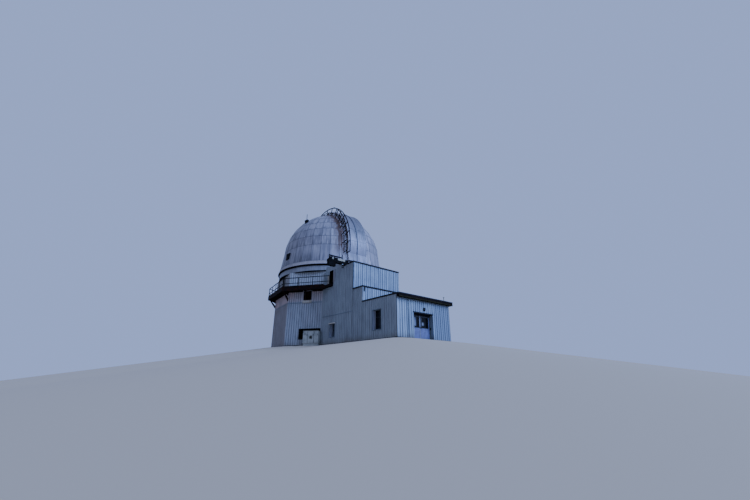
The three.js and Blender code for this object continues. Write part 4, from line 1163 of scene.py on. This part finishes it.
hatch = bmesh.new()
framed(hatch, on_hatch, HATCH, hatch_out, 50 * MM, 14 * MM)
for z in (HATCH[2] + 0.16, HATCH[3] - 0.16):
    rod(hatch, *[on_hatch(HATCH[0], end, 12 * MM) for end in (z - 0.06, z + 0.06)], 16 * MM, 10)
rod(hatch, *[on_hatch(GRIP[0], z, 45 * MM) for z in GRIP[1:]], 9 * MM, 8)
for z in GRIP[1:]:
    rod(hatch, on_hatch(GRIP[0], z, -5 * MM), on_hatch(GRIP[0], z, 45 * MM), 9 * MM, 8)
piece("hatch_fittings", hatch, DARK_STEEL, "dome")

mast_low, mast_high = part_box("dome_mast")
mast = bmesh.new()
direction = radial(DOME_TURN - 75)
mast_foot = direction * DOME_RADIUS * math.cos(math.radians(41.5))
for down, height, radius in ((950, 50, 42), (500, 50, 36), (5, 13, 34)):
    z = mast_high.z - down * MM
    rod(mast, mast_foot + UP * z, mast_foot + UP * (z + height * MM), radius * MM)
box_foot, reach_out = mast_foot + UP * (mast_low.z + 0.25), crosswise(direction) * 0.28
strip(mast, box_foot - reach_out, box_foot + reach_out, UP, 0.26, 0.3, 0.0, 12 * MM)
piece("mast_collars_and_box", mast, DARK_STEEL, "dome")

# %% [markdown]
# The service platform is a gangway of steel sections. Flat bars make its walking surface, the posts get foot
# plates, and angles edge the deep box under its outer end.

# %% Service platform
platform = bmesh.new()
left, right, front, back, bottom, top = -5.92, -3.4, -8.6, -8.2, 8.32, 8.6
for x in spaced(left + 40 * MM, right, 60 * MM):
    level(platform, (x, front + 30 * MM), (x, back - 5 * MM), top, UP, 12 * MM, 18 * MM)
for y, outward in ((front, FRONT), (back, -FRONT)):
    for z in (bottom + 20 * MM, top - 20 * MM):
        level(platform, (left, y), (right, y), z, outward, 40 * MM, 10 * MM)
level(platform, (left, front), (-5.05, front), 7.9, FRONT, 40 * MM, 10 * MM)
for x in (left + 0.02, -5.48, -5.07):
    upright(platform, (x, front), 7.88, bottom, FRONT, 40 * MM, 8 * MM)
for x in (-5.87, -5.25, -4.2):
    block(platform, (x - 60 * MM, front + 20 * MM, top), (x + 60 * MM, front + 130 * MM, top + 22 * MM))
block(platform, (-5.95, front - 20 * MM, 8.88), (-4.2, front + 10 * MM, 9.03), 4 * MM)
for x0, x1 in ((-5.95, -5.5), (-5.32, -4.8), (-3.85, -3.4)):
    block(platform, (x0, front - 15 * MM, 8.56), (x1, front - 3 * MM, 8.84))
y = front - 20 * MM
strip(platform, (-5.95, y, 8.6), (-5.3, y, 8.98), FRONT, 70 * MM, 16 * MM)
piece("platform_steelwork", platform, PLATFORM_STEEL)

# %% [markdown]
# The annex's windows stand deep in the wall. The frame carries painted strips round the glass, and a folded
# sill throws the rain clear. The balcony door has a pale strip on one side and a rust-stained one on the other.

# %% Annex windows
GLASS_PLANE = ANNEX_LEFT + 0.36  # the outer face of the window frames
SIDE_MULLION = -14.27


def on_pane(y, z):
    return GLASS_PLANE, y, z


def glazing(mesh, opening, width, depth, bar):
    """Strips round a window's glass, and a level bar across it."""
    framed(mesh, on_pane, opening, LEFT, width, depth, rounding=ROUND)
    strip(mesh, on_pane(opening[0], bar), on_pane(opening[1], bar), LEFT, 60 * MM, depth - 2 * MM, 25 * MM)


frames, wall_sills, linings = bmesh.new(), bmesh.new(), bmesh.new()
glazing(frames, SIDE_WINDOW, 60 * MM, 15 * MM, 2.05)
ends = [on_pane(SIDE_MULLION, z) for z in SIDE_WINDOW[2:]]
strip(frames, *ends, LEFT, 40 * MM, 12 * MM, 25 * MM)
glazing(frames, SMALL_WINDOW, 60 * MM, 15 * MM, 1.5)
piece("annex_window_frames", frames, WINDOW_PAINT)
x = ANNEX_LEFT
for y0, y1, z0, z1 in (SIDE_WINDOW, SMALL_WINDOW):
    level(wall_sills, (x + 0.16, y0), (x + 0.16, y1), z0, UP, 0.4, 14 * MM)
    level(wall_sills, (x, y0 - 0.04), (x, y1 + 0.04), z0 - 0.01, LEFT, 60 * MM, 60 * MM)
    for y in (y0 - 20 * MM, y1 + 20 * MM):
        upright(wall_sills, (x, y), z0, z1, LEFT, 50 * MM, OVER_RIBS)
    level(wall_sills, (x, y0 - 0.045), (x, y1 + 0.045), z1 + 0.02, LEFT, 50 * MM, OVER_RIBS)
    middle, width = (x + GLASS_PLANE) / 2, GLASS_PLANE - x - 20 * MM
    for y, outward in ((y0, -FRONT), (y1, FRONT)):
        upright(linings, (middle, y), z0 + 14 * MM, z1, outward, width, 6 * MM)
piece("annex_window_flashings", wall_sills, TRIM_SHEET)
piece("annex_window_linings", linings, LINING_SHEET)

door_dark, door_pale, door_rusty, hood = bmesh.new(), bmesh.new(), bmesh.new(), bmesh.new()
glazing(door_dark, BALCONY_DOOR, 50 * MM, 14 * MM, 7.0)
y0, y1, z0, z1 = BALCONY_DOOR
near, far = ANNEX_LEFT - OVER_RIBS, GLASS_PLANE - 2 * MM
for y in (y0, y1 - 6 * MM):
    block(door_dark, (near, y, z0 + 10 * MM), (far, y + 6 * MM, z1))
block(door_dark, (near, y0, z1 - 6 * MM), (far, y1, z1 + 40 * MM))
for y in (y0 - 25 * MM, y1 + 25 * MM):
    upright(door_dark, (x, y), DECK_TOP, z1 + 40 * MM, LEFT, 50 * MM, OVER_RIBS + 4 * MM)
piece("balcony_door_trim", door_dark, INTAKE_STEEL)
upright(door_pale, (x, -6.09), DECK_TOP, 7.5, LEFT, 0.4, OVER_RIBS)
piece("balcony_door_pale_panel", door_pale, PALE_FLASHING)
upright(door_rusty, (x, -7.17), 6.6, 8.0, LEFT, 0.42, OVER_RIBS)
piece("balcony_door_rusty_panel", door_rusty, RUSTY_FLASHING)

y0, y1, _, z1 = SMALL_WINDOW
y0, y1 = y0 - 60 * MM, y1 + 60 * MM
for y in (y0, y1):
    strip(hood, (x, y, z1 - 0.05), (x - 0.15, y, z1 + 0.05), UP, 20 * MM, 20 * MM)
level(hood, (x - 0.16, y0), (x - 0.16, y1), z1 + 0.06, LEFT, 90 * MM, 6 * MM)
piece("small_window_hood_edge", hood, HOOD_SHEET)

# %% [markdown]
# The double door has two steel leaves, each with a glazed upper half over a pressed lower panel. A bead holds
# each pane, a cover strip hides the meeting edge, and each leaf has a lever handle. Everything on a leaf rides
# with that leaf. The doorway itself has a dark lintel flashing, linings, a switch, and a lamp above it; the
# heads of its recess and its frame are painted near black as painted shade, and so are the beads round the
# panes.

# %% Front door
LEAF_FACE = -16.405  # the leaves' outer faces
LEAVES = (("left", -2.132, -0.924, STILE_PAINT), ("right", -0.916, 0.292, DOOR_PAINT))
STILE = 0.13
PANE_LOW, PANE_HIGH = 1.08, 2.102
PANEL_LOW, PANEL_HIGH = 0.24, PANE_LOW - 0.1
LEVER = 1.14  # its height


def on_leaf(x, z, out=0.0):
    return x, LEAF_FACE - out, z


for side, x0, x1, stile_paint in LEAVES:
    leaf, beads, stile, handle = bmesh.new(), bmesh.new(), bmesh.new(), bmesh.new()
    body = f"door_{side}"
    a, b = x0 + STILE, x1 - STILE
    middle = (a + b) / 2
    framed(beads, on_leaf, (a, b, PANE_LOW, PANE_HIGH), FRONT, 45 * MM, 10 * MM, sunk=20 * MM)
    panel = (a, b, PANEL_LOW, PANEL_HIGH)
    framed(leaf, on_leaf, panel, FRONT, 26 * MM, 9 * MM, 0.0, rounding=ROUND)
    ends = on_leaf(middle, PANEL_LOW + 0.09), on_leaf(middle, PANEL_HIGH - 0.09)
    strip(leaf, *ends, FRONT, b - a - 0.18, 7 * MM, rounding=5 * MM)
    piece(f"door_panel_{side}", leaf, DOOR_PAINT, body)
    piece(f"door_beads_{side}", beads, BEAD_PAINT, body)
    x, reach_out = (x1 - 0.06, -0.11) if side == "left" else (x0 + 0.06, 0.11)
    strip(stile, on_leaf(x, 0.13), on_leaf(x, 2.22), FRONT, 0.11, 8 * MM, rounding=ROUND)
    piece(f"door_meeting_stile_{side}", stile, stile_paint, body)
    strip(handle, on_leaf(x, 1.0), on_leaf(x, 1.2), FRONT, 45 * MM, 14 * MM, rounding=4 * MM)
    rod(handle, on_leaf(x, LEVER), on_leaf(x, LEVER, 0.055), 10 * MM)
    rod(handle, on_leaf(x, LEVER, 0.055), on_leaf(x + reach_out, LEVER, 0.055), 10 * MM)
    piece(f"door_handle_{side}", handle, DARK_STEEL, body)

left, right, head = DOORWAY
FRAME_FACE = -16.46
lintel, jambs, fixtures, lamp_glass = bmesh.new(), bmesh.new(), bmesh.new(), bmesh.new()
ends = (left - 0.05, ANNEX_FRONT), (right + 0.05, ANNEX_FRONT)
level(lintel, *ends, head + 0.05, FRONT, 0.1, OVER_RIBS + 6 * MM)
# The recess's head and a band over the frame's head are near black: painted shade under the head.
block(lintel, (left, ANNEX_FRONT, head - 12 * MM), (right, FRAME_FACE, head - 1 * MM))
block(lintel, (left, FRAME_FACE - 15 * MM, head - 0.13), (right, FRAME_FACE + 5 * MM, head - 12 * MM), ROUND)
piece("doorway_lintel_and_head_shade", lintel, DARK_FLASHING)
for x, outward in ((left, RIGHT), (right, LEFT)):
    upright(jambs, (x, (ANNEX_FRONT + FRAME_FACE) / 2), 0.1, head - 12 * MM, outward, 0.34, 6 * MM)
for x in (left - 25 * MM, right + 25 * MM):
    upright(jambs, (x, ANNEX_FRONT), 0, head, FRONT, 60 * MM, OVER_RIBS)
piece("doorway_jamb_flashings", jambs, ANNEX_SHEET)

LAMP = Vector((-0.78, ANNEX_FRONT, 2.7))
block(fixtures, (right - 0.05, -16.56, 0.98), (right - 6 * MM, -16.48, 1.2), 6 * MM)
block(fixtures, LAMP + Vector((-0.12, -0.05, -0.15)), LAMP + Vector((0.12, 0, 0.16)), 10 * MM)
rod(fixtures, LAMP + FRONT * 0.04, LAMP + FRONT * 0.12, 0.1, 20, 0.085)
visor = LAMP + FRONT * 0.04 + UP * 0.12
strip(fixtures, visor + LEFT * 0.12, visor + RIGHT * 0.12, FRONT, 12 * MM, 0.14)
piece("door_lamp_and_switch", fixtures, DARK_STEEL)
place = Matrix.Translation(LAMP + FRONT * 0.115)
bmesh.ops.create_uvsphere(lamp_glass, u_segments=20, v_segments=12, radius=0.075, matrix=place)
piece("door_lamp_glass", lamp_glass, DULL_GLASS)

# %% [markdown]
# The stage is a pale floor that falls away from the walls' feet, because the camera stands lower than the
# building. A dome of even sky and one large, soft light from the front right give the quiet contrast of an
# overcast day: the fronts are pale and the left side lies in shade.

# %% Floor and light
FLOOR_SLOPE = 0.16  # metres down for each metre away
FLOOR_MARGIN = 0.7
ground = bmesh.new()
bmesh.ops.create_grid(ground, x_segments=160, y_segments=160, size=70)
for corner in ground.verts:
    x, y = corner.co.x, corner.co.y
    from_tower = math.hypot(x, y) - 6.9
    from_annex = math.hypot(max(ANNEX_LEFT - x, 0, x - 3.1), max(-17.1 - y, 0, y))
    away = max(min(from_tower, from_annex) - FLOOR_MARGIN, 0)
    corner.co.z = -FLOOR_SLOPE * away - 0.002
data = bpy.data.meshes.new("floor")
ground.to_mesh(data)
ground.free()
for polygon in data.polygons:
    polygon.use_smooth = True
data.materials.append(Finish("pale_studio_floor", linear("#a29079")).done(0.9))
floor = bpy.data.objects.new("floor", data)
bpy.context.scene.collection.objects.link(floor)

world = bpy.data.worlds.new("sky")
world.use_nodes = True
light = world.node_tree.nodes["Background"]
light.inputs["Color"].default_value = (0.335, 0.445, 0.82, 1.0)
light.inputs["Strength"].default_value = 1.0
bpy.context.scene.world = world

sun = bpy.data.lights.new("soft_sun", "SUN")
sun.energy = 7.3
sun.angle = math.radians(50)
sun.color = (0.3, 0.47, 1.0)
lamp = bpy.data.objects.new("soft_sun", sun)
lamp.rotation_euler = (math.radians(52), 0, math.radians(20))
bpy.context.scene.collection.objects.link(lamp)
print("floor, sky and light are set")
